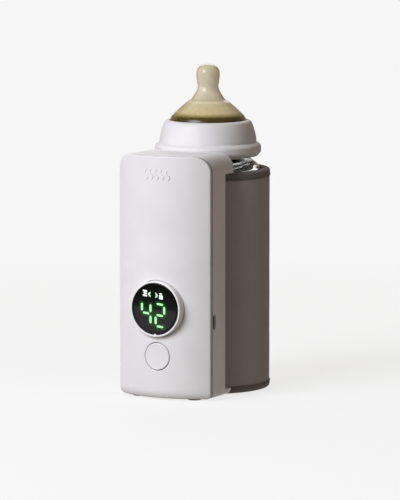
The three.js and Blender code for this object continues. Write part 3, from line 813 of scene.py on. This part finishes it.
def make_front_panel():
    """Front and back sheets with rounded-over edges, joined round the outline and through both holes."""
    edge_radius, hole_radius = 0.55, 0.35
    insets = (0.0, 0.04, 0.12, 0.24, 0.38, 0.55, 1.1)
    offsets = (0.0, 0.03, 0.1, 0.2, 0.35, 0.9)
    loops = [perimeter(inset) for inset in insets]
    depths = [edge_drop(inset, edge_radius) for inset in insets]
    for centre_z, radius, steps in PANEL_HOLES:
        loops += [circle(0, centre_z, radius + offset, steps) for offset in offsets]
        depths += [edge_drop(offset, hole_radius) for offset in offsets]
    front, front_faces = triangulated(loops, depths + [0.0], 1.6, 1.8)
    back_loops = [perimeter(STEP)] + [circle(0, *hole) for hole in PANEL_HOLES]
    back, back_faces = triangulated(back_loops, [PANEL] * 4, 5.0, 3.0)
    rim = [on_face(perimeter(i), depth) for i, depth in ((0.0, EDGE - 0.15), (0.15, EDGE), (STEP, EDGE))]

    ring = len(loops[0])
    back_at, rim_at = len(front), len(front) + len(back)
    faces = front_faces + [tuple(back_at + i for i in face) for face in back_faces]
    rings = (0, rim_at, rim_at + ring, rim_at + 2 * ring, back_at)
    for one, two in zip(rings, rings[1:]):
        faces += bridge(one, two, ring)
    front_hole, back_hole = ring * len(insets), back_at + ring
    for _, _, steps in PANEL_HOLES:
        faces += bridge(front_hole, back_hole, steps)
        front_hole += steps * len(offsets)
        back_hole += steps
    panel = new_mesh("front_panel", np.vstack([front, back, *rim]), faces)
    finish_piece(panel, case_plastic, ["front_shell"])


def make_seam_shadow_strip():
    """A dark strip that fills the step behind the panel's edge: painted shade that shows as the seam's shadow
    line round the case.
    """
    near, far = EDGE + 0.02, PANEL + SEAM - 0.02
    section = ((0.1, near), (0.1, far), (STEP - 0.02, far), (STEP - 0.02, near))
    layers = [on_face(perimeter(inset), depth) for inset, depth in section]
    faces = grid_faces(4, len(layers[0]), wrap_rows=True, wrap_columns=True)
    shadow_strip = new_mesh("seam_shadow_strip", np.vstack(layers), faces)
    finish_piece(shadow_strip, seam_shadow_rubber)


# ---- rear shell


def stepped_block():
    """The rear shell's solid: a shelf, a body and a lip, each hollowed for the sleeve."""
    tiers = (
        (-5, SHELF_TOP, SHELF_BACK_Y, CHANNEL_RADIUS),
        (SHELF_TOP, LIP_BOTTOM, CASE_BACK_Y, CHANNEL_RADIUS),
        (LIP_BOTTOM, CASE_TOP + 5, LIP_BACK_Y, LIP_NOTCH),
    )
    # Where each tier's flat back runs into its hollow.
    shelf, body, lip = (math.sqrt(radius**2 - (AXIS_Y - back_y) ** 2) for _, _, back_y, radius in tiers)
    half = [*np.linspace(0, body, 7)[1:], *np.linspace(body, lip, 5)[1:], shelf, HALF_WIDTH + 2.5]
    xs = np.array([-x for x in half[::-1]] + [0] + half)
    rings = []
    for low, high, back_y, radius in tiers:
        y = np.minimum(back_y, AXIS_Y - np.sqrt(radius**2 - xs**2))
        for z in (low, high):
            back = [(a, b, z) for a, b in zip(xs, y)]
            rings.append([(xs[0], -60, z), *back, (xs[-1], -60, z)])
    return loft("case_back", rings)


def front_space(depth):
    """Everything in front of a surface that lies at a depth behind the bowed face."""
    roll = CASE_BOTTOM + ROLL_HEIGHT * (1 - np.cos(np.linspace(0, math.pi / 2, 14)))
    z = np.r_[CASE_BOTTOM - 8, roll, CASE_TOP + 8]
    rings = []
    for x in np.linspace(-45, 45, 91):
        near = on_face([(x, level) for level in z], depth)
        rings.append([*near, (x, -90, z[-1]), (x, -90, z[0])])
    return loft("space", rings)


def slot_outline(length, thickness):
    """The charging slot's outline in (y, z)."""
    return rounded_box(SOCKET_Y, SOCKET_Z, thickness, length, thickness * 0.495, 8)


def screw_box(name):
    """A shell screw's middle in (x, z), and its front and back ends along Y."""
    low, high = box_mm("shell_screw_" + name)
    return ((low[0] + high[0]) / 2, (low[2] + high[2]) / 2), low[1], high[1]


def make_case_back():
    shell = stepped_block()
    combine(shell, [prism("outline", perimeter(0, 2, 2), -55, 10)], "INTERSECT")
    soften(shell, 0.45)
    hollow = prism("space", perimeter(WALL, 2, 2), -70, CASE_INSIDE_Y)
    cut(shell, hollow, front_space(PANEL + SEAM))
    socket_slot = prism("space", slot_outline(9.4, 3.7), HALF_WIDTH - 5, HALF_WIDTH + 3, "X")
    openings = [socket_slot]
    for name in SHELL_SCREWS:
        centre, _, _ = screw_box(name)
        openings.append(disc("space", 3.1, centre, CASE_BACK_Y - 2.3, CASE_BACK_Y + 2, 40))
    lead_hole = disc("space", 2.6, (0, 24), CASE_INSIDE_Y - 4.6, CASE_BACK_Y + 3.3, 32)
    cut(shell, *openings, lead_hole)
    finish_piece(shell, case_plastic, ["rear_shell"], flat_faces=True)


# ---- display


def make_display_ring():
    front, back = DISPLAY_FRONT, -44.2
    ledge, bore, flange = front + 1.8, 14.8, RING_RADIUS + 2
    profile = rounded([
        (bore, back), (bore, ledge), (GLASS_RADIUS + 0.2, ledge),
        (GLASS_RADIUS + 0.15, front, 0.35), (RING_RADIUS, front, 0.6),
        (RING_RADIUS, back - 1.2), (flange, back - 1.2), (flange, back),
    ], 6)
    ring = revolve("display_ring", profile, 160, centre=(0, DISPLAY_Z), axis="Y")
    join(ring, disc("tab", 0.8, (0, TAB_Z), front + 0.1, front + 1.9, 24))
    finish_piece(ring, ring_plastic, ["display_bezel"])


def window_y(x, z):
    """The depth of the display window's slightly domed face."""
    out = (x**2 + (z - DISPLAY_Z) ** 2) / GLASS_RADIUS**2
    return DISPLAY_FRONT + WINDOW_SET_BACK - GLASS_DOME * (1 - out)


def make_display_window():
    rim, radius = DISPLAY_FRONT + WINDOW_SET_BACK, GLASS_RADIUS
    face = [(r, window_y(r, DISPLAY_Z)) for r in np.linspace(0, radius - 0.25, 14)]
    edge = [(radius - 0.08, rim + 0.06), (radius, rim + 0.25), (radius, rim + 1.4), (0, rim + 1.4)]
    window = revolve("display_glass", face + edge, 128, closed=False, centre=(0, DISPLAY_Z), axis="Y")
    cut(window, disc("space", 1.0, (0, TAB_Z), -60, -40, 24))
    finish_piece(window, window_glass, ["display_window"])


def raise_on_window(name, outlines, material, height=0.1):
    """Thin raised shapes on the window, from outlines in x and z measured from the display's middle."""
    shapes = []
    for outline in outlines:
        x, z = np.asarray(outline, float).T
        z = z + SLANT * x + DISPLAY_Z
        shapes.append([np.stack([x, window_y(x, z) + lift, z], -1) for lift in (height / 2, -height)])
    finish_piece(loft(name, *shapes), material)


def segment(x, z, length, width, upright):
    """One bar of a seven-segment digit, with pointed ends."""
    half, edge = length / 2, width / 2
    flat = half - width * 0.42
    points = ((-half, 0), (-flat, -edge), (flat, -edge), (half, 0), (flat, edge), (-flat, edge))
    return [(x + (b if upright else a), z + (a if upright else b)) for a, b in points]


def chevron(x, z, way):
    """A small arrowhead that points left, or right where way is -1."""
    points = ((-1.0, 0), (-0.35, 1.1), (0.8, 1.65), (0.3, 0), (0.8, -1.65), (-0.35, -1.1))
    return [(x + way * a, z + b) for a, b in points]


def make_readout():
    raise_on_window("readout_digits", [segment(*bar) for bar in READOUT_BARS], digit_glow)
    raise_on_window("readout_arrows", [chevron(-3.7, 8.55, 1), chevron(1.05, 8.7, -1)], arrow_glow)
    stack = [(-6.9, 10.15, 2.9, 1.0), (-6.6, 8.75, 2.3, 1.0), (-6.9, 7.35, 2.9, 1.0)]
    bottle = [(4.2, 8.0, 2.5, 2.5), (4.05, 10.0, 1.7, 0.8)]
    raise_on_window("readout_icons", [rounded_box(*bar, 0.25, 3) for bar in stack + bottle], icon_glow)


# ---- power button and heat mark


def make_power_key():
    """A dished cap on a flange, with a stem behind. Its face is bowed with the case's."""
    radius, face, flange, stem_end = BUTTON_RADIUS, FRONT_Y - BUTTON_PROUD, -47.7, -41.4
    dish = [(r, face + 0.22 * (1 - (r / radius) ** 2)) for r in np.linspace(0, radius - 1.0, 10)]
    side = rounded([
        (radius - 0.8, face), (radius, face + 0.02, 0.6), (radius, flange), (FLANGE_RADIUS, flange),
        (FLANGE_RADIUS, flange + 0.9), (2.2, flange + 0.9), (2.2, stem_end), (0, stem_end),
    ], 5, closed=False)
    key = revolve("power_key", [*dish, *side], 128, closed=False, centre=(0, BUTTON_Z), axis="Y")
    for vertex in key.data.vertices:
        share = np.clip((flange / 1000 - vertex.co.y) / 0.0025, 0, 1)
        vertex.co.y += share * (bow_y(vertex.co.x * 1000) - FRONT_Y) / 1000
    finish_piece(key, case_plastic, ["power_button"], "button")


def make_heat_mark():
    """A row of small raised waves near the top of the face, a generic sign for warmth."""
    foot, height, spacing, sway = 135.4, 6.6, 3.7, 0.95
    a = full_turn(8)
    waves = []
    for k in range(-2, 3):
        rings = []
        for t in np.linspace(0, 1, 26):
            x = spacing * k + sway * math.sin(2 * math.pi * t)
            z = foot + height * t + (0.5 if k % 2 else 0)
            size = 0.55 * math.sin(math.pi * min(max(t, 0.05), 0.95)) ** 0.35
            y = face_y(x, z) - 0.95 * size * np.sin(a)
            rings.append(np.stack([x + size * np.cos(a), y, np.full(8, z)], -1))
        waves.append(rings)
    finish_piece(loft("heat_mark", *waves), case_plastic)


# ---- sleeve


def wrap_uv(obj, reach):
    """A millimetre UV map for cloth wound round the axis at this radius: u runs round, v up."""
    mesh = obj.data
    layer = mesh.uv_layers.new(name="millimetres")
    for polygon in mesh.polygons:
        points = [mesh.vertices[index].co * 1000 for index in polygon.vertices]
        angles = [math.atan2(p.x, AXIS_Y - p.y) for p in points]
        if max(angles) - min(angles) > math.pi:
            angles = [a + 2 * math.pi if a < 0 else a for a in angles]
        for loop, angle, p in zip(polygon.loop_indices, angles, points):
            layer.data[loop].uv = (angle * reach, p.z + reach - math.hypot(p.x, p.y - AXIS_Y))


def wound(name, path, steps=240, closed=True):
    """A ring of cloth round the bottle's axis, with its UV map."""
    obj = revolve(name, path, steps, closed)
    wrap_uv(obj, max(radius for radius, _ in path))
    return obj


def wall_noise(verts, amplitude, seed):
    """Slow random swell of a padded wall, the same every run: a few waves round and up it."""
    rng = np.random.default_rng(seed)
    angle = np.arctan2(verts[:, 0], AXIS_Y - verts[:, 1])
    total = np.zeros(len(verts))
    for around in (2, 3, 5, 8, 11):
        for up in (1, 2, 4):
            phase, tilt = rng.uniform(0, 2 * math.pi, 2)
            total += np.sin(around * angle + phase) * np.cos(up * verts[:, 2] / 22 + tilt) / around
    return amplitude * total / 2


def swell(obj, amplitude, seed, keep_radius):
    """Moves the outer wall in and out by wall_noise, leaving everything inside keep_radius."""
    verts = np.array([v.co for v in obj.data.vertices]) * 1000
    out = verts[:, :2] - (0, AXIS_Y)
    radius = np.linalg.norm(out, axis=1)
    moved = np.where(radius > keep_radius, wall_noise(verts, amplitude, seed), 0)
    verts[:, :2] += out / np.maximum(radius, 1e-6)[:, None] * moved[:, None]
    obj.data.vertices.foreach_set("co", (verts / 1000).ravel())


def lap_seam(obj):
    """Raises a flat lapped seam up the back of the sleeve, with its middle line pressed in."""
    half_width, raised, pressed = 3.2, 0.32, 0.16
    for vertex in obj.data.vertices:
        x, y = vertex.co.x * 1000, vertex.co.y * 1000 - AXIS_Y
        radius = math.hypot(x, y)
        if y < 0 or radius < SLEEVE_RADIUS - 1:
            continue
        lift = raised / (1 + math.exp(-(half_width - abs(x)) * 4)) - pressed * math.exp(-((x / 0.5) ** 2))
        vertex.co.x += x / radius * lift / 1000
        vertex.co.y += y / radius * lift / 1000


def make_sleeve():
    """The padded cover: a wall drawn in a little at its bound ends, over a plain inner face."""
    outer, inner = SLEEVE_RADIUS - 0.25, SLEEVE_RADIUS - 1.9
    bottom, top = sleeve_low[2] - 0.4, RIM_TOP - 4.6
    wall = [(outer, bottom)]
    for t in np.linspace(0, 1, 90):
        crown = 0.03 + 0.14 * math.sin(math.pi * t) ** 0.4
        wall.append((outer + crown, bottom + 0.5 + (top - bottom - 1) * t))
    wall += [(outer, top), (inner, top), (inner, (top + bottom) / 2), (inner, bottom)]
    cover = wound("sleeve_cover", wall)
    swell(cover, 0.10, 7, inner + 0.5)
    lap_seam(cover)
    finish_piece(cover, sleeve_knit, ["sleeve_padding"], sharp=60)


def make_sleeve_lining():
    low, high = box_mm("sleeve_lining")
    skin, thickness = (high[0] - low[0]) / 2, 0.6
    path = [(skin - thickness, z) for z in np.linspace(high[2], low[2], 40)]
    lining = wound("sleeve_lining_cloth", [*path, (skin, low[2]), (skin, high[2])], 160)
    finish_piece(lining, lining_knit, ["sleeve_lining"], sharp=60)


def bind_edge(name, node, path, amplitude, seed):
    """A folded tape round one end of the sleeve."""
    tape_ring = wound(name, densify(rounded(path, 7)))
    swell(tape_ring, amplitude, seed, SLEEVE_RADIUS - 0.6)
    finish_piece(tape_ring, edge_tape, [node], sharp=60)


def on_wall(angle, radius, z):
    """A point on the sleeve's round wall, and the directions round and out of the wall there."""
    out = (math.sin(angle), -math.cos(angle), 0)
    return (radius * out[0], AXIS_Y + radius * out[1], z), (math.cos(angle), math.sin(angle), 0), out


def ring_of_stitches(radius, height, pitch):
    count = round(2 * math.pi * radius / pitch)
    return [on_wall(2 * math.pi * (i + 0.5) / count, radius, height) for i in range(count)]


def seam_stitches(radius, low, high, pitch):
    """Two upright rows of stitches, one on each side of the seam up the back."""
    places = []
    for side in (-2.3, 2.3):
        for z in np.arange(low, high, pitch):
            centre, _, out = on_wall(math.pi + side / radius, radius, z)
            places.append((centre, (0, 0, 1), out))
    return places


def thread_loop(centre, direction, outward):
    """The rings of one stitch: it rises from the cloth, lies along it and dives back."""
    length, half_width = 1.7, 0.21
    centre, direction, outward = np.array((centre, direction, outward), float)
    side = np.cross(direction, outward)
    a = full_turn(6)[:, None]
    rings = []
    for t in np.linspace(-1, 1, 7):
        size = half_width * math.sqrt(max(1 - t**4, 0.08))
        middle = centre + direction * length / 2 * t + outward * (0.16 * (1 - t**2) - 0.06)
        rings.append(middle + side * size * np.cos(a) + outward * size * 0.8 * np.sin(a))
    return rings


def make_bindings():
    outer, pitch = SLEEVE_RADIUS, 2.7
    low, top = RIM_TOP - 5.0, RIM_TOP
    bind_edge("sleeve_rim_tape", "sleeve_top_binding", [
        (outer - 0.5, low - 0.1), (outer + 0.18, low - 0.1, 0.3), (outer + 0.12, top, 2.0),
        (33.4, top, 1.1), (33.3, low + 0.4, 0.2), (34.2, low + 0.4), (34.4, top - 1.6),
        (outer - 1.2, top - 1.9), (outer - 0.5, low + 1.0),
    ], 0.07, 3)
    foot_top = box_mm("sleeve_bottom_binding")[1][2]
    bind_edge("sleeve_foot_tape", "sleeve_bottom_binding", [
        (34.4, 0.2), (outer + 0.1, 0.2, 2.0), (outer + 0.16, foot_top + 0.3, 0.3),
        (outer - 0.6, foot_top + 0.3), (outer - 0.8, foot_top), (34.4, foot_top),
    ], 0.06, 5)

    places = ring_of_stitches(outer + 0.22, low + 1.0, pitch)
    places += ring_of_stitches(outer + 0.2, foot_top - 0.6, pitch)
    places += seam_stitches(outer + 0.22, foot_top + 2, low - 1.5, pitch)
    stitching = loft("sleeve_stitching", *(thread_loop(*place) for place in places))
    stitching.data.uv_layers.new(name="millimetres")
    finish_piece(stitching, thread)


def make_sleeve_floor():
    low, high = box_mm("sleeve_base")
    radius, top = (high[0] - low[0]) / 2, high[2]
    crown = [(radius * t, top - 0.35 * t**6) for t in np.linspace(0.98, 0, 24)]
    edge = [(0, low[2]), (radius - 0.3, low[2]), (radius, low[2] + 0.4), (radius, top - 0.7)]
    floor = wound("sleeve_floor", edge + crown, 120, closed=False)
    finish_piece(floor, lining_knit, ["sleeve_base"], sharp=50)


def make_sole_pad():
    """A silicone disc with concentric grooves in its underside."""
    low, high = box_mm("base_pad")
    radius, top = (high[0] - low[0]) / 2, high[2]
    path = [(0, top), (radius, top), (radius - 0.9, 0.05), (radius - 1.4, 0.0)]
    for groove in range(9):
        edge = radius - 3 - groove * 2.8
        path += [(edge, 0.0), (edge - 0.25, 0.35), (edge - 0.85, 0.35), (edge - 1.1, 0.0)]
    pad = revolve("sole_pad", path + [(0, 0)], 96, closed=False)
    finish_piece(pad, pad_rubber, ["base_pad"])


def make_feet():
    for side in ("left", "right"):
        low, high = box_mm("foot_" + side)
        middle, radius, top = (low + high) / 2, (high[1] - low[1]) / 2, high[2]
        path = rounded([
            (0, top), (radius, top, 0.2), (radius, 0, 0.5), (2.2, 0, 0.3), (1.8, 0.5, 0.2), (0, 0.5),
        ], 4, closed=False)
        foot = revolve("foot_pad_" + side, path, 64, closed=False, centre=middle[:2])
        finish_piece(foot, foot_rubber, ["foot_" + side])


# ---- bottle, collar and teat


def thread_ridge(root, crest, start, turns=1.25):
    """A helical ridge, tapered at both ends."""
    inward = 1 if root > crest else -1
    rings = []
    for t in np.linspace(0, 1, round(turns * 72) + 1):
        angle = t * turns * 2 * math.pi
        top = root + (crest - root) * min(1.0, min(t, 1 - t) * turns * 8 + 0.12)
        section = ((root, -1.7), (top, -1.0), (top + inward * 0.12, 0), (top, 1.0), (root, 1.7))
        level = start + t * turns * THREAD_PITCH
        rings.append([(r * math.cos(angle), AXIS_Y + r * math.sin(angle), level + up) for r, up in section])
    return loft("thread", rings)


def make_bottle():
    """Clear glass, 2 mm thick: pushed-up base, straight wall, round shoulder and a threaded neck."""
    radius, inside, neck, mouth = BOTTLE_RADIUS, BOTTLE_RADIUS - 2, 24.5, 21.9
    low, high = bottle_low[2], bottle_high[2]
    heel = rounded([(18, low + 0.7), (26, low, 2.0), (radius, low, 3.2), (radius, 12)], 8, closed=False)
    wall = [(radius, z) for z in np.linspace(12, 134, 20)[1:]]
    shoulder = spline([(radius, 135.5), (radius - 1.2, 139.0), (27.6, 142.3), (neck, 144.2)], 7)
    lip = rounded([(neck, 146), (neck, high, 0.9), (mouth, high, 0.7), (mouth, 150)], 6, closed=False)
    throat = spline([(mouth, 142.4), (24.2, 139.9), (29.0, 136.8), (inside, 132.5)], 7)
    floor = rounded([(inside, 60), (inside, low + 3.2, 4.0), (0, low + 3.2)], 8, closed=False)[1:]
    profile = np.vstack([[(0, low + 0.9)], heel, wall, shoulder, lip, throat, floor])
    bottle = revolve("glass_bottle", profile, 160, closed=False)
    join(bottle, thread_ridge(neck - 0.3, 26.2, THREAD_START))
    finish_piece(bottle, bottle_glass, ["bottle"], "bottle", sharp=45)


def make_scale():
    """Plain measuring lines fired on the glass, long and short in turn."""
    skin = BOTTLE_RADIUS + 0.06
    lines = []
    for i in range(11):
        z = 26 + 9 * i
        reach = math.radians(5.5 if i % 2 else 9)
        section = ((skin - 0.08, z - 0.3), (skin, z - 0.3), (skin, z + 0.3), (skin - 0.08, z + 0.3))
        angles = np.linspace(-reach, reach, 8)
        lines.append([[(r * math.sin(a), AXIS_Y - r * math.cos(a), up) for r, up in section] for a in angles])
    finish_piece(loft("bottle_scale", *lines), scale_ink, body="bottle")


def make_collar():
    """Two tiers: a rolled skirt, and a dome that leans in to the rim round the teat."""
    top, low, ceiling = COLLAR_TOP, COLLAR_TOP - 22.2, 163.6
    flange, bore, hole = 33.0, 27.0, 23.9
    skirt = rounded([
        (bore, low), (flange - 2.2, low, 1.0), (flange, low + 2.4, 2.4), (flange, low + 6.6, 2.2),
        (flange - 2.0, low + 8.2, 0.7), (flange - 2.95, low + 8.3, 0.3), (flange - 2.9, low + 9.1, 0.4),
    ], 6, closed=False)[1:]
    dome = spline([
        (flange - 2.85, top - 12.9), (flange - 3.05, top - 11.0), (flange - 3.9, top - 7.0),
        (flange - 5.2, top - 3.0), (flange - 6.3, top - 1.0), (flange - 7.6, top - 0.12),
    ], 7)
    rim = rounded([
        (flange - 8.0, top), (hole, top, 0.45), (hole, ceiling, 0.2), (bore, ceiling, 0.8),
        (bore, low, 0.3), (bore + 1, low),
    ], 6, closed=False)
    collar = revolve("screw_collar", np.vstack([skirt, dome, rim]), 180)
    join(collar, thread_ridge(bore + 0.3, 25.1, THREAD_START + THREAD_PITCH / 2))
    finish_piece(collar, collar_plastic, ["collar"], "collar", sharp=40)


def down_from_tip(*points):
    """Turns (radius, distance below the teat's tip) into (radius, height)."""
    return [(radius, TEAT_TIP - below) for radius, below in points]


def make_teat():
    """A flange under the collar, a wide cone, a narrow stem and a round bulb, hollow right up to the tip."""
    seat, throat = TEAT_LOW, 23.6
    flange = rounded([
        (21.8, seat), (26.3, seat, 0.3), (26.3, seat + 2.0, 0.3), (throat, seat + 2.0, 0.3),
        (throat, seat + 4.5),
    ], 4, closed=False)
    cone = spline(down_from_tip(
        (throat, 34.7), (23.0, 33.0), (21.5, 31.2), (17.7, 27.5), (13.8, 24.1), (12.2, 22.95), (11.5, 22.5),
    ), 6)
    stem = spline(down_from_tip(
        (11.0, 22.3), (9.9, 21.1), (8.3, 18.6), (7.0, 16.2), (6.4, 14.2), (6.5, 12.6), (6.78, 11.6),
        (6.85, 10.6), (7.1, 8.6), (7.25, 6.4), (7.0, 4.1), (6.1, 2.3), (4.6, 1.0), (2.5, 0.25), (0.45, 0),
    ), 5)
    inside = spline(down_from_tip(
        (0.45, 1.4), (3.0, 1.9), (5.0, 3.3), (5.8, 6.0), (5.1, 13.8), (6.3, 17.6), (9.6, 23.0), (12.4, 24.9),
        (16.4, 28.8), (20.3, 32.6), (21.8, 36),
    ), 5)
    teat = revolve("latex_teat", np.vstack([flange, cone, stem, inside]), 128)
    finish_piece(teat, teat_latex, ["teat"], "teat", sharp=60)


# ---- screws and charging socket


def make_shell_screws():
    for name in SHELL_SCREWS:
        centre, tip, face = screw_box(name)
        profile = [
            (0, tip), (0.3, tip), (1.3, tip + 1.2), (1.3, face - 1.8), (2.7, face - 1.7),
            (2.7, face - 1.0), (2.4, face - 0.45), (1.6, face - 0.1), (0, face),
        ]
        screw = revolve("driven_screw_" + name, profile, 48, closed=False, centre=centre, axis="Y")
        middle = (centre[0], face - 0.05, centre[1])
        cut(screw, block("slot", middle, (3.0, 2.1, 0.7)), block("slot", middle, (0.7, 2.1, 3.0)))
        finish_piece(screw, steel, ["shell_screw_" + name])


def make_socket():
    mouth = HALF_WIDTH - 1.0
    shell = prism("socket_shell", slot_outline(8.9, 3.2), mouth - 7.3, mouth, "X")
    cut(shell, prism("space", slot_outline(8.3, 2.6), mouth - 6.3, mouth + 2, "X"))
    soften(shell, 0.08, 2)
    # The shell's darkened steel is painted shade for the inside of the slot.
    finish_piece(shell, slot_shade_steel, ["usb_c_socket"])
    tongue = block("socket_tongue", (mouth - 3.75, SOCKET_Y, SOCKET_Z), (5.7, 0.66, 6.4))
    soften(tongue, 0.12, 2)
    finish_piece(tongue, dark_plastic)
    contacts = []
    for i in range(8):
        centre = (mouth - 3.1, SOCKET_Y + 0.34, SOCKET_Z - 2.45 + 0.7 * i)
        contacts.append(block("socket_contacts", centre, (3.8, 0.08, 0.3)))
    join(*contacts)
    finish_piece(contacts[0], brass)


# ---- carried-over CAD nodes

SLOT_MATERIALS = {
    "white_plastic": case_plastic,
    "inner_plastic": inner_plastic,
    "dark_plastic": dark_plastic,
    "display_glass": window_glass,
    "silicone": pad_rubber,
    "sleeve_fabric": sleeve_knit,
    "binding_fabric": edge_tape,
    "lining_fabric": lining_knit,
    "heating_film": foil,
    "steel": steel,
    "nickel": nickel,
    "circuit_board": board_green,
    "cell_wrap": cell_wrap,
    "wire": black_wire,
}


def dress_cad_nodes():
    """Gives every CAD node that still shows its slot's material."""
    slots = {part["node"]: part["material_slot"] for part in frame["record"]["subparts"]}
    for name, obj in frame["nodes"].items():
        if obj.hide_render:
            continue
        material = red_wire if name == "battery_lead_positive" else SLOT_MATERIALS[slots[name]]
        obj.data.materials.clear()
        obj.data.materials.append(material)


# ---- build

make_camera()
make_stage()
make_front_panel()
make_seam_shadow_strip()
make_case_back()
make_display_ring()
make_display_window()
make_readout()
make_power_key()
make_heat_mark()
make_sleeve()
make_sleeve_lining()
make_bindings()
make_sleeve_floor()
make_sole_pad()
make_feet()
make_bottle()
make_scale()
make_collar()
make_teat()
make_shell_screws()
make_socket()
dress_cad_nodes()
